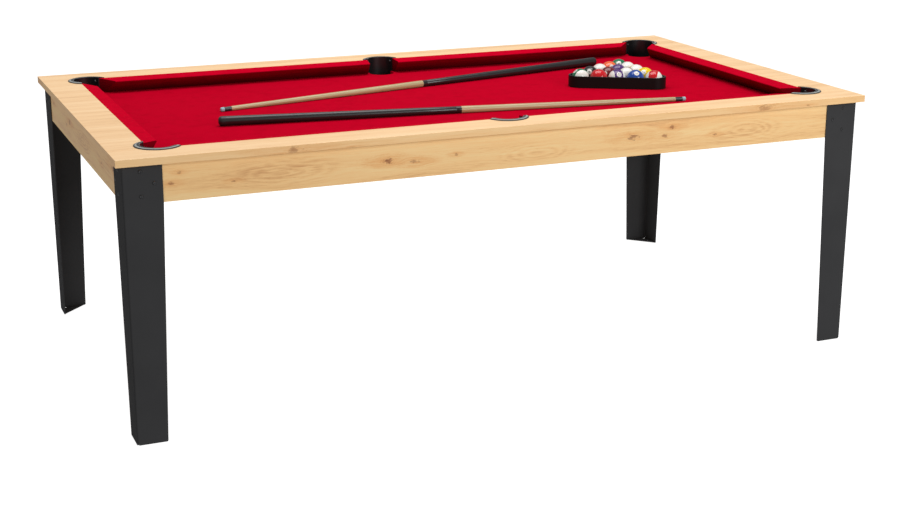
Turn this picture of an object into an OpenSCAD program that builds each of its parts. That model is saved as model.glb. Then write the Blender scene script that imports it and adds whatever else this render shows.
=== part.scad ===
// Seven-foot pool table on folded steel legs, with two cues, a triangle and fifteen balls.
// Millimetres. +X runs along the table, +Y towards its back, +Z up, origin on the floor under its centre.

/* [Table] */
// Length of the top frame
table_l = 2290; // [2000:10:2600]
// Width of the top frame
table_w = 1300; // [1150:10:1500]
// Height of the top frame's upper face above the floor
table_h = 790; // [700:5:900]

/* [Top frame] */
// Width of each rail board
rail_w = 110; // [100:1:150]
// Thickness of each rail board
rail_t = 20; // [16:1:30]
// How far the top frame stands out over the apron
overhang = 20; // [10:1:40]
// Rounding of the frame's long upper edges
edge_r = 1; // [0.5:0.5:3]

/* [Apron] */
// Height of the apron boards
apron_h = 105; // [90:1:150]
// Thickness of the apron boards
apron_t = 22; // [16:1:30]

/* [Legs] */
// Thickness of the leg sheet steel
steel_t = 3; // [2:0.5:5]
// Width of each leg flange beside the apron
flange_top = 106; // [100:1:130]
// Width of each leg flange at the floor
flange_foot = 84; // [70:1:100]
// Outer radius of the leg's long bend
bend_r = 5; // [4:0.5:8]
// Radius of the hole in each foot plate
foot_hole_r = 6.5; // [4:0.5:8]
// Distance of the foot plate's hole from the leg's outer faces
foot_hole_in = 13; // [12:0.5:32]

/* [Bed] */
// Depth of the playing surface below the top frame
bed_drop = 45; // [40:1:55]
// Thickness of the bed board
bed_t = 18; // [15:1:30]
// Thickness of the bed cloth
cloth_t = 1.2; // [0.8:0.1:2]

/* [Cushions] */
// Distance from the rail board to the cushion nose
cushion_w = 45; // [40:1:55]
// Height of the nose above the playing surface
nose_h = 36.5; // [34:0.5:38]
// Radius of the nose
nose_r = 3.5; // [3:0.5:5]
// Angle of a corner pocket's facing, from square
corner_facing = 52; // [45:1:55]
// Angle of a middle pocket's facing, from square
middle_facing = 7; // [5:1:20]

/* [Pockets] */
// Inner radius of a corner pocket
corner_r = 47; // [44:1:54]
// Inner radius of a middle pocket
middle_r = 46; // [44:1:50]
// Distance of a corner pocket's centre inside both rail boards' edges
corner_in = 30; // [26:1:34]
// Distance of a middle pocket's centre inside the rail board's edge
middle_in = 15; // [4:1:18]
// Thickness of the pocket moulding
pocket_t = 3; // [2:0.5:4]
// Width of the pocket rim on the rail board
rim_w = 14; // [8:1:16]
// Thickness of the pocket rim
rim_t = 3.5; // [2:0.5:5]
// Height of the pocket floor's underside above the apron's lower edge
cup_up = 4; // [2:1:10]

/* [Fasteners] */
// Radius of a leg bolt's shank
bolt_r = 3; // [2.5:0.5:4]
// Radius of a rail screw's shank
screw_r = 2.5; // [2:0.25:3]
// Radius of a pocket screw's shank
pocket_screw_r = 2; // [1.5:0.25:2.5]

/* [Cues] */
// Length of a cue
cue_l = 1470; // [1400:5:1480]
// Radius of the cue at its butt end
butt_r = 14.5; // [13:0.5:16]
// Radius of the cue at its tip
tip_r = 6.5; // [5.5:0.25:7]

/* [Balls and triangle] */
// Diameter of a ball
ball_d = 57.2; // [52:0.1:58]
// Height of the triangle
rack_h = 38; // [30:1:45]
// Wall of the triangle
rack_t = 6.5; // [5:0.5:9]
// Gap between neighbouring balls in the triangle
ball_gap = 3; // [0.5:0.5:4]
// Clearance between the balls and the triangle
rack_play = 4.5; // [0.5:0.5:6]

/* [Hidden] */
CORNERS = ["front_left", "front_right", "back_left", "back_right"];
SIDES = ["front", "back", "left", "right"];
HALVES = ["front_left", "front_right", "back_left", "back_right", "left", "right"];
CUE_PIECES = ["butt", "shaft", "ferrule", "tip", "bumper"];
$fn = 64;
eps = 0.01;
big = 400;

// Heights
under_top = table_h - rail_t;
bed_z = table_h - bed_drop;
panel_top = bed_z - cloth_t;
panel_under = panel_top - bed_t;
apron_foot = under_top - apron_h;
cup_foot = apron_foot + cup_up;

// Plan sizes, measured from the centre of the table
half_l = table_l / 2;
half_w = table_w / 2;
in_l = half_l - rail_w;
in_w = half_w - rail_w;
field_x = in_l - cushion_w;
field_y = in_w - cushion_w;
apron_x = half_l - overhang;
apron_y = half_w - overhang;
leg_x = apron_x + steel_t;
leg_y = apron_y + steel_t;
room_x = apron_x - apron_t;
room_y = apron_y - apron_t;

// Clearances
slip = 0.5;      // around a moulding in its cut-out
hole_play = 0.3; // around a bolt
screw_play = 0.05;
lift_gap = 0.3;  // under the loose pieces
board_gap = 0.4; // between the boards of the bed
head_seat = 0.3; // between a flat screw head and the curved wall of a pocket

// Pockets and cushions
corner_cut_r = corner_r + pocket_t + slip;
middle_cut_r = middle_r + pocket_t + slip;
corner_drop_r = corner_r - 4;
middle_drop_r = middle_r - 3;
corner_reach = corner_in + sqrt(pow(corner_cut_r, 2) - pow(corner_in, 2)) + 0.6;
middle_reach = sqrt(pow(middle_cut_r, 2) - pow(middle_in, 2)) + 0.6;
batten_w = 40;
batten_gap = 8;
batten_h = under_top - bed_z;

// Legs
bolt_near = 48;
bolt_far = 83.5;
bolt_rise = 33;
bolt_mid_z = apron_foot + apron_h / 2 + 1.5;
bolt_head_r = 2 * bolt_r - 0.4;
bolt_head_h = 2.8;
nut_r = 1.92 * bolt_r;
nut_gap = 1;
nut_h = 5;
bolt_end = 3;
block_w = bolt_near - steel_t - apron_t - nut_r - nut_gap;
ledger = 20;
beam_w = 30;
beam_xs = [-0.66, -0.29, 0.29, 0.66] * half_l;
beam_drop = cup_up - 1;

// Cues: where the butt end lies, and which way the cue points
cue_places = [[752, 0.758 * field_y, 191.9], [-745, -0.265 * field_y, -7.2]];
cue_joint = cue_l / 2;
bumper_l = 20;
ferrule_l = 24;
tip_l = 12;
tip_dome = 5;
cue_slope = (butt_r - tip_r) / cue_l;
cue_tilt = atan(cue_slope);

// Balls and triangle
ball_r = ball_d / 2;
pitch = ball_d + ball_gap;
rack_at = [0.633 * field_x, -0.042 * field_y];
rack_turn = -29.8;
rack_rows = [[14, 3, 12, 2, 11], [8, 7, 15, 1], [13, 4, 9], [5, 10], [6]];
row_step = pitch * sqrt(3) / 2;

oak = [0.87, 0.69, 0.46];
black_steel = [0.12, 0.12, 0.12];
red_cloth = [0.74, 0.0, 0.14];
black_plastic = [0.03, 0.03, 0.03];
pine = [0.80, 0.68, 0.48];
ball_tints = [[0.96, 0.82, 0.05], [0.06, 0.24, 0.60], [0.80, 0.06, 0.08], [0.28, 0.12, 0.42],
              [0.95, 0.38, 0.10], [0.02, 0.42, 0.24], [0.35, 0.08, 0.08], [0.03, 0.03, 0.03]];

// ---------- helpers ----------

// A piece drawn at the table's front left corner, carried to another one.
module at_corner(name) {
    flip_x = name == "front_right" || name == "back_right" ? 1 : 0;
    flip_y = name == "back_left" || name == "back_right" ? 1 : 0;
    mirror([flip_x, 0, 0]) mirror([0, flip_y, 0]) children();
}

module at_every_corner() {
    for (c = CORNERS) at_corner(c) children();
}

// Carries x along the rail, y towards the field and z = 0 at the playing surface to one side of the table.
module at_side(name) {
    turn = name == "front" ? 0 : name == "back" ? 180 : name == "left" ? -90 : 90;
    edge = name == "front" || name == "back" ? in_w : in_l;
    rotate([0, 0, turn]) translate([0, -edge, bed_z]) children();
}

// Centre of the front left corner pocket, and of the front middle pocket.
corner_at = [corner_in - in_l, corner_in - in_w, 0];
middle_at = [0, middle_in - in_w, 0];

// ---------- top frame ----------

// Round cut-outs for the mouldings of all six pockets.
module pocket_cuts() {
    at_every_corner() translate(corner_at) cylinder(r = corner_cut_r, h = table_h + 1);
    for (m = [0, 1]) mirror([0, m, 0]) translate(middle_at) cylinder(r = middle_cut_r, h = table_h + 1);
}

// A board with its two long upper edges rounded, lying from z = 0 up.
module eased_board(l, w, t) {
    translate([-l / 2, 0, 0]) rotate([90, 0, 90]) linear_extrude(l) union() {
        square([w, t - edge_r]);
        translate([edge_r, 0]) square([w - 2 * edge_r, t]);
        for (y = [edge_r, w - edge_r]) translate([y, t - edge_r]) circle(edge_r);
    }
}

module top_rail_long(m) {
    color(oak) mirror([0, m, 0]) difference() {
        translate([0, -half_w, under_top]) eased_board(table_l, rail_w, rail_t);
        pocket_cuts();
        pocket_screw_holes();
        rail_screw_holes();
    }
}

module top_rail_end(m) {
    color(oak) mirror([m, 0, 0]) difference() {
        translate([-half_l, 0, under_top]) rotate([0, 0, -90]) eased_board(2 * in_w, rail_w, rail_t);
        pocket_cuts();
        pocket_screw_holes();
        rail_screw_holes();
    }
}

// ---------- apron ----------

module apron_long(m) {
    chamfer = bend_r - steel_t + 1;
    color(oak) mirror([0, m, 0]) difference() {
        translate([-apron_x, -apron_y, apron_foot]) cube([2 * apron_x, apron_t, apron_h]);
        for (x = [-apron_x, apron_x])
            translate([x, -apron_y, apron_foot - 1]) rotate([0, 0, 45])
                cube([chamfer * sqrt(2), chamfer * sqrt(2), 3 * apron_h], center = true);
        leg_bolt_holes();
    }
}

module apron_end(m) {
    color(oak) mirror([m, 0, 0]) difference() {
        translate([-apron_x, -room_y, apron_foot]) cube([apron_t, 2 * room_y, apron_h]);
        leg_bolt_holes();
    }
}

module corner_blocks() {
    color(pine) at_every_corner()
        translate([-room_x, -room_y, apron_foot + beam_drop])
            cube([block_w, block_w, panel_under - apron_foot - beam_drop]);
}

// ---------- legs ----------

// One flange's outline: x away from the bend, y up. Straight beside the apron, tapered below it.
module flange_outline(start) {
    r = 4;
    union() {
        polygon([[start, 0], [flange_foot - r, 0], [flange_foot - r, r], [flange_foot, r],
                 [flange_top, apron_foot], [flange_top, under_top], [start, under_top]]);
        translate([flange_foot - r, r]) circle(r);
    }
}

// Folded steel leg at the front left corner, with its foot plate.
module leg_shape() {
    translate([-leg_x, -leg_y, 0]) difference() {
        union() {
            translate([0, steel_t, 0]) rotate([90, 0, 0]) linear_extrude(steel_t) flange_outline(bend_r);
            mirror([1, -1, 0]) translate([0, steel_t, 0]) rotate([90, 0, 0])
                linear_extrude(steel_t) flange_outline(bend_r);
            intersection() {
                translate([bend_r, bend_r, 0]) difference() {
                    cylinder(r = bend_r, h = under_top);
                    translate([0, 0, -1]) cylinder(r = bend_r - steel_t, h = under_top + 2);
                }
                cube([bend_r, bend_r, under_top]);
            }
            linear_extrude(steel_t)
                polygon([[steel_t - 1, steel_t - 1], [flange_foot - 6, steel_t - 1],
                         [flange_foot - 6, steel_t], [steel_t, flange_foot - 6], [steel_t - 1, flange_foot - 6]]);
        }
        translate([-1, -1, -1]) cube([bend_r + 1, bend_r + 1, steel_t + 1]);
        translate([foot_hole_in, foot_hole_in, -1]) cylinder(r = foot_hole_r, h = steel_t + 2);
    }
}

module leg(name) {
    color(black_steel) at_corner(name) difference() {
        leg_shape();
        leg_bolt_holes();
    }
}

// Puts its children on every bolt's axis at the front left leg, z pointing into the table from the flange's face.
module at_leg_bolts() {
    places = [[bolt_near, bolt_rise], [bolt_near, -bolt_rise], [bolt_far, 0]];
    for (p = places) {
        translate([p[0] - leg_x, -leg_y, bolt_mid_z + p[1]]) rotate([-90, 0, 0]) children();
        translate([-leg_x, p[0] - leg_y, bolt_mid_z + p[1]]) rotate([0, 90, 0]) children();
    }
}

module leg_bolt_holes() {
    at_every_corner() at_leg_bolts()
        translate([0, 0, -1]) cylinder(r = bolt_r + hole_play, h = steel_t + apron_t + 2);
}

// Button head bolts with a hexagon socket.
module leg_bolts() {
    color(black_steel) at_every_corner() at_leg_bolts() difference() {
        union() {
            cylinder(r = bolt_r, h = steel_t + apron_t + nut_h + bolt_end);
            translate([0, 0, -bolt_head_h]) cylinder(r1 = bolt_head_r * 0.62, r2 = bolt_head_r, h = bolt_head_h);
        }
        translate([0, 0, -bolt_head_h - 1]) cylinder(r = bolt_r * 0.75, h = bolt_head_h + 0.4, $fn = 6);
    }
}

module leg_nuts() {
    color("silver") at_every_corner() at_leg_bolts()
        translate([0, 0, steel_t + apron_t]) difference() {
            cylinder(r = nut_r, h = nut_h, $fn = 6);
            translate([0, 0, -1]) cylinder(r = bolt_r + screw_play, h = nut_h + 2);
        }
}

// ---------- bed ----------

// The bed's cut-out at one pocket: round the moulding on the rail's side, smaller where the ball drops.
module drop_cut(cut_r, drop_r, inset, both) {
    cylinder(r = drop_r, h = table_h);
    difference() {
        cylinder(r = cut_r, h = table_h);
        translate([both ? -inset : -big, -inset, -1]) cube([2 * big, 2 * big, table_h + 2]);
    }
}

module bed_cuts() {
    at_every_corner() translate(corner_at) drop_cut(corner_cut_r, corner_drop_r, corner_in, true);
    for (m = [0, 1]) mirror([0, m, 0]) translate(middle_at) drop_cut(middle_cut_r, middle_drop_r, middle_in, false);
}

module bed_sheet(z, t) {
    edge_play = 2;
    difference() {
        translate([-room_x + edge_play, -room_y + edge_play, z])
            cube([2 * (room_x - edge_play), 2 * (room_y - edge_play), t]);
        bed_cuts();
        rail_screw_holes();
    }
}

// Five boards, with their joints over the inner crossbeams and along the middle of each end.
module bed_panel() {
    joint = beam_xs[2] + board_gap / 2;
    color([0.62, 0.47, 0.32]) intersection() {
        bed_sheet(panel_under, bed_t);
        union() {
            translate([board_gap - joint, -half_w, 0]) cube([2 * (joint - board_gap), table_w, table_h]);
            for (x = [0, 1], y = [0, 1]) mirror([x, 0, 0]) mirror([0, y, 0])
                translate([joint, board_gap / 2, 0]) cube([half_l - joint, half_w, table_h]);
        }
    }
}

module bed_cloth() {
    color(red_cloth) bed_sheet(panel_top, cloth_t);
}

// Battens inside the apron that carry the bed.
module bed_ledgers() {
    end_gap = bolt_far + 8;
    color(pine) difference() {
        for (m = [0, 1]) {
            mirror([0, m, 0]) translate([end_gap - leg_x, -room_y, panel_under - ledger])
                cube([2 * (leg_x - end_gap), ledger, ledger]);
            mirror([m, 0, 0]) translate([-room_x, end_gap - leg_y, panel_under - ledger])
                cube([ledger, 2 * (leg_y - end_gap), ledger]);
        }
        pocket_cuts();
    }
}

module bed_crossbeams() {
    beam_z = apron_foot + beam_drop;
    color(pine) for (x = beam_xs) difference() {
        translate([x - beam_w / 2, -room_y, beam_z]) cube([beam_w, 2 * room_y, panel_under - beam_z]);
        for (m = [0, 1]) mirror([0, m, 0])
            translate([x - beam_w, -room_y - 1, panel_under - ledger]) cube([2 * beam_w, ledger + 1, ledger + 1]);
        pocket_cuts();
    }
}

// ---------- cushions ----------

// Section of a cushion, x away from the rail and y up from the bed, drawn t inside its cloth.
function cushion_section(t) = let (
        cx = cushion_w - nose_r,
        r = nose_r - t,
        fall = (bed_drop - nose_h - nose_r) / cx,
        a_top = 90 - atan(fall),
        a_low = -41,
        steps = 8,
        back = 20
    ) concat(
        [[0, bed_drop - t / cos(atan(fall))]],
        [for (i = [0:steps]) let (a = a_top + (a_low - a_top) * i / steps)
            [cx + r * cos(a), nose_h + r * sin(a)]],
        [[back, 6 + t], [back - 5, 0.5 + t], [0, 0.5 + t]]
    );

// Plan of a cushion from s0 to s1 along the rail, with facings that lean by k0 and k1 a unit, drawn t inside.
module cushion_plan(s0, s1, k0, k1, t) {
    far = cushion_w + 10;
    e0 = t * sqrt(1 + k0 * k0);
    e1 = t * sqrt(1 + k1 * k1);
    polygon([[s0 + e0 - k0, -1], [s1 - e1 + k1, -1], [s1 - e1 - k1 * far, far], [s0 + e0 + k0 * far, far]]);
}

module cushion_solid(s0, s1, k0, k1, t) {
    intersection() {
        translate([s0 - 5, 0, 0]) rotate([90, 0, 90]) linear_extrude(s1 - s0 + 10) polygon(cushion_section(t));
        translate([0, 0, -1]) linear_extrude(bed_drop + 2) cushion_plan(s0, s1, k0, k1, t);
    }
}

// One of the six cushions. Each runs from a corner pocket to a middle pocket or to the other corner pocket.
module cushion(name, t) {
    kc = tan(corner_facing);
    km = tan(middle_facing);
    s = in_l - corner_reach;
    e = in_w - corner_reach;
    if (name == "front_left") at_side("front") cushion_solid(-s, -middle_reach, kc, km, t);
    if (name == "front_right") at_side("front") cushion_solid(middle_reach, s, km, kc, t);
    if (name == "back_left") at_side("back") cushion_solid(middle_reach, s, km, kc, t);
    if (name == "back_right") at_side("back") cushion_solid(-s, -middle_reach, kc, km, t);
    if (name == "left" || name == "right") at_side(name) cushion_solid(-e, e, kc, kc, t);
}

module cushion_rubbers() {
    color([0.15, 0.13, 0.12]) for (h = HALVES) cushion(h, cloth_t);
}

module cushion_cloth(name) {
    color(red_cloth) difference() {
        cushion(name, 0);
        cushion(name, cloth_t);
    }
}

// Battens under the rail boards' inner edges, behind the cushions.
module cushion_battens() {
    s = in_l - corner_reach - batten_gap;
    m = middle_reach + batten_gap;
    e = in_w - corner_reach - batten_gap;
    color(pine) difference() {
        union() {
            for (side = ["front", "back"], x = [-s, m])
                at_side(side) translate([x, -batten_w, 0]) cube([s - m, batten_w, batten_h]);
            for (side = ["left", "right"])
                at_side(side) translate([-e, -batten_w, 0]) cube([2 * e, batten_w, batten_h]);
        }
        rail_screw_holes();
    }
}

// ---------- screws ----------

// Puts its children under the bed, on the axis of every screw that holds a rail board down, z pointing up.
module at_rail_screws() {
    long = in_l - corner_reach - batten_gap;
    short = in_w - corner_reach - batten_gap;
    mid = middle_reach + batten_gap;
    for (side = ["front", "back"], f = [0.1, 0.42, 0.9], m = [-1, 1])
        at_side(side) translate([m * (mid + f * (long - mid)), -batten_w / 2, panel_under - bed_z]) children();
    for (side = ["left", "right"], f = [-0.85, 0, 0.85])
        at_side(side) translate([f * short, -batten_w / 2, panel_under - bed_z]) children();
}

rail_screw_bite = 10;
rail_screw_l = bed_t + cloth_t + batten_h + rail_screw_bite;

module rail_screw_holes() {
    at_rail_screws() translate([0, 0, -1]) cylinder(r = screw_r + screw_play, h = rail_screw_l + 2);
}

// Puts its children on the axis of each pocket screw, z pointing out of the pocket into the rail board.
module at_pocket_screws() {
    z = table_h - rail_t / 2;
    at_every_corner() translate(corner_at) for (a = [-55, 145])
        rotate([0, 0, a]) translate([corner_r - head_seat, 0, z]) rotate([0, 90, 0]) children();
    for (m = [0, 1]) mirror([0, m, 0]) translate(middle_at) for (a = [-30, -150])
        rotate([0, 0, a]) translate([middle_r - head_seat, 0, z]) rotate([0, 90, 0]) children();
}

pocket_screw_l = 20;

module pocket_screw_holes() {
    at_pocket_screws() translate([0, 0, -1])
        cylinder(r = pocket_screw_r + screw_play, h = pocket_screw_l + 2);
}

// A shank from z = 0 up, under a low domed head.
module wood_screw(r, l) {
    head_h = 0.9 * r;
    cylinder(r = r, h = l);
    translate([0, 0, -head_h]) cylinder(r1 = 1.3 * r, r2 = 2 * r, h = head_h);
}

module wood_screws() {
    color("silver") {
        at_rail_screws() wood_screw(screw_r, rail_screw_l);
        at_pocket_screws() wood_screw(pocket_screw_r, pocket_screw_l);
    }
}

// ---------- pockets ----------

// Section of the moulding, x from the pocket's axis and y up: a wall with a rim that lies on the rail board.
module moulding_section(r) {
    round_r = rim_t / 2;
    far = r + pocket_t + rim_w;
    union() {
        translate([r, cup_foot]) square([pocket_t, table_h + rim_t - round_r - cup_foot]);
        translate([r + round_r, table_h]) square([far - r - 2 * round_r, rim_t]);
        translate([far - round_r, table_h + round_r]) circle(round_r);
        translate([r + round_r, table_h + rim_t - round_r]) circle(round_r);
    }
}

// Moulding with its wall and rim open towards the field, and a full cup below the bed.
module pocket_shape(r, inset, both) {
    under_bed = panel_under - lift_gap;
    difference() {
        rotate_extrude($fn = 96) moulding_section(r);
        translate([both ? -inset : -big, -inset, under_bed]) cube([2 * big, 2 * big, big]);
    }
    translate([0, 0, cup_foot]) cylinder(r = r + eps, h = pocket_t, $fn = 96);
}

module pocket_corner(name) {
    color(black_plastic) at_corner(name) difference() {
        translate(corner_at) pocket_shape(corner_r, corner_in, true);
        pocket_screw_holes();
    }
}

module pocket_middle(m) {
    color(black_plastic) mirror([0, m, 0]) difference() {
        translate(middle_at) pocket_shape(middle_r, middle_in, false);
        pocket_screw_holes();
    }
}

// ---------- triangle and balls ----------

// Carries the triangle's own frame, x along its front row of balls and y towards its apex, to the bed.
module at_rack() {
    translate([rack_at[0], rack_at[1], bed_z + lift_gap]) rotate([0, 0, rack_turn]) children();
}

// A triangle round the three corner balls' centres, grown by r with round corners.
module grown_triangle(r) {
    half = 2 * pitch;
    top = 4 * row_step;
    c = cos(30) * r;
    s = sin(30) * r;
    union() {
        for (p = [[-half, 0], [half, 0], [0, top]]) translate(p) circle(r);
        polygon([[-half, -r], [half, -r], [half + c, s], [c, top + s], [-c, top + s], [-half - c, s]]);
    }
}

module triangle_rack() {
    inner = ball_r + rack_play;
    color(black_plastic) at_rack() linear_extrude(rack_h) difference() {
        grown_triangle(inner + rack_t);
        grown_triangle(inner);
    }
}

module ball(n) {
    color(ball_tints[(n - 1) % 8]) at_rack()
        for (i = [0:4], j = [0:4 - i]) if (rack_rows[i][j] == n)
            translate([(j - (4 - i) / 2) * pitch, i * row_step, ball_r]) sphere(r = ball_r);
}

// ---------- cues ----------

function cue_r(x) = butt_r - cue_slope * x;

// Carries a cue's own frame, x from its butt end to its tip, to where it lies on the bed.
module at_cue(n) {
    p = cue_places[n - 1];
    translate([p[0], p[1], bed_z + lift_gap]) rotate([0, 0, p[2]])
        translate([0, 0, butt_r * cos(cue_tilt)]) rotate([0, cue_tilt, 0]) rotate([0, 90, 0]) children();
}

module cue_length(x0, x1) {
    translate([0, 0, x0]) cylinder(r1 = cue_r(x0), r2 = cue_r(x1), h = x1 - x0);
}

// A cue end between x0 and x1, rounded off at its outer end over the length d.
module cue_end(x0, x1, d, at_tip) {
    steps = 6;
    rim = at_tip ? x1 - d : x0 + d;
    last = at_tip ? x1 : x0;
    base = at_tip ? x0 : x1;
    drop = 0.55;
    rotate_extrude() polygon(concat(
        [[0, last]],
        [for (i = [1:steps]) let (a = 90 * i / steps)
            [cue_r(rim) * (1 - drop * (1 - sin(a))), last + (rim - last) * (1 - cos(a))]],
        [[cue_r(base), base], [0, base]]
    ));
}

module cue(n, piece) {
    at_cue(n) {
        if (piece == "bumper") color([0.05, 0.05, 0.05]) cue_end(0, bumper_l, 6, false);
        if (piece == "butt") color([0.04, 0.04, 0.04]) cue_length(bumper_l, cue_joint);
        if (piece == "shaft") color([0.72, 0.62, 0.40]) cue_length(cue_joint, cue_l - ferrule_l - tip_l);
        if (piece == "ferrule") color([0.05, 0.05, 0.05]) cue_length(cue_l - ferrule_l - tip_l, cue_l - tip_l);
        if (piece == "tip") color([0.75, 0.82, 0.86]) cue_end(cue_l - tip_l, cue_l, tip_dome, true);
    }
}

// ---------- nodes ----------

top_rail_long(0);  // top_rail_front
top_rail_long(1);  // top_rail_back
top_rail_end(0);  // top_rail_left
top_rail_end(1);  // top_rail_right
apron_long(0);  // apron_front
apron_long(1);  // apron_back
apron_end(0);  // apron_left
apron_end(1);  // apron_right
for (c = CORNERS) leg(c);
corner_blocks();
leg_bolts();
leg_nuts();
bed_panel();
bed_cloth();
bed_ledgers();
bed_crossbeams();
cushion_rubbers();
cushion_battens();
wood_screws();
for (h = HALVES) cushion_cloth(h);
for (c = CORNERS) pocket_corner(c);
pocket_middle(0);  // pocket_middle_front
pocket_middle(1);  // pocket_middle_back
triangle_rack();
for (c = [1, 2], p = CUE_PIECES) cue(c, p);
for (n = [1:15]) ball(n);
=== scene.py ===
import logging
import math
from dataclasses import dataclass, field
from enum import Enum
from typing import Callable, Sequence

import bmesh
import bpy
from mathutils import Matrix, Vector

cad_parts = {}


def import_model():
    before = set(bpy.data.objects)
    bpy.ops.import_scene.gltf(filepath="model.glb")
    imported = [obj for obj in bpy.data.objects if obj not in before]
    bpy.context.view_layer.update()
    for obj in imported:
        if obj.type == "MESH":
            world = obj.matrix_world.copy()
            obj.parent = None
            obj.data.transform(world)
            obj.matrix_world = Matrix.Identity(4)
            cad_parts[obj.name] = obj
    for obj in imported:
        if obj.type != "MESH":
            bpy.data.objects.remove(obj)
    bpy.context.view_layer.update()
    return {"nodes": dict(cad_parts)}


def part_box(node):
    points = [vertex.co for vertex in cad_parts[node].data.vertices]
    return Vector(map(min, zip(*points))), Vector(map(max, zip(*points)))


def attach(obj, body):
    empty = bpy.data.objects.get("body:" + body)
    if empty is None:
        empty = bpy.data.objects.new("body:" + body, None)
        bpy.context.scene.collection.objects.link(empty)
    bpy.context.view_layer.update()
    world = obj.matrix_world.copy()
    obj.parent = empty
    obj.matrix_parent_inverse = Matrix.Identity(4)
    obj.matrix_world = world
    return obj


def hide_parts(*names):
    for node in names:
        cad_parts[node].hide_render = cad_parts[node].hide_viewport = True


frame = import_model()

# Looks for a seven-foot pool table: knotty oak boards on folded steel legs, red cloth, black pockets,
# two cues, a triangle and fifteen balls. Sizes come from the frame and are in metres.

LOG = logging.getLogger("pool_table")
Colour = tuple[float, float, float]
Point = tuple[float, float, float]
SOFT_STEP = {"interpolation_type": "SMOOTHSTEP"}


def srgb(red: int, green: int, blue: int) -> Colour:
    """A linear colour from the three numbers, 0 to 255, of a paint card.

    Args:
        red: Amount of red.
        green: Amount of green.
        blue: Amount of blue.

    Returns:
        The same colour in linear light.
    """
    def linear(value: int) -> float:
        """One channel in linear light."""
        share = value / 255
        return share / 12.92 if share <= 0.04045 else ((share + 0.055) / 1.055) ** 2.4

    return (linear(red), linear(green), linear(blue))


def quarter(steps: int) -> list[float]:
    """The angles of a quarter turn, from none to all of it, in equal steps."""
    return [math.pi / 2 * step / steps for step in range(steps + 1)]


# ---------------------------------------------------------------- shader maths


class Wire:
    """A shader socket that takes part in arithmetic."""

    def __init__(self, graph: "Graph", socket: bpy.types.NodeSocket) -> None:
        """Keeps the socket and the graph that it belongs to."""
        self.graph = graph
        self.socket = socket

    def __add__(self, other: "Wire | float") -> "Wire":
        """This plus the other."""
        return self.graph.math("ADD", self, other)

    def __radd__(self, other: float) -> "Wire":
        """The other plus this."""
        return self.graph.math("ADD", other, self)

    def __sub__(self, other: "Wire | float") -> "Wire":
        """This minus the other."""
        return self.graph.math("SUBTRACT", self, other)

    def __rsub__(self, other: float) -> "Wire":
        """The other minus this."""
        return self.graph.math("SUBTRACT", other, self)

    def __mul__(self, other: "Wire | float") -> "Wire":
        """This times the other."""
        return self.graph.math("MULTIPLY", self, other)

    def __rmul__(self, other: float) -> "Wire":
        """The other times this."""
        return self.graph.math("MULTIPLY", other, self)

    def __abs__(self) -> "Wire":
        """This without its sign."""
        return self.graph.math("ABSOLUTE", self)

    def smooth(self, low: float, high: float) -> "Wire":
        """0 below low, 1 above high and a soft step between them; low may be the larger."""
        values = {"Value": self, "From Min": low, "From Max": high}
        return self.graph.output("ShaderNodeMapRange", values, SOFT_STEP, "Result")


Value = Wire | float | Sequence[float]


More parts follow.
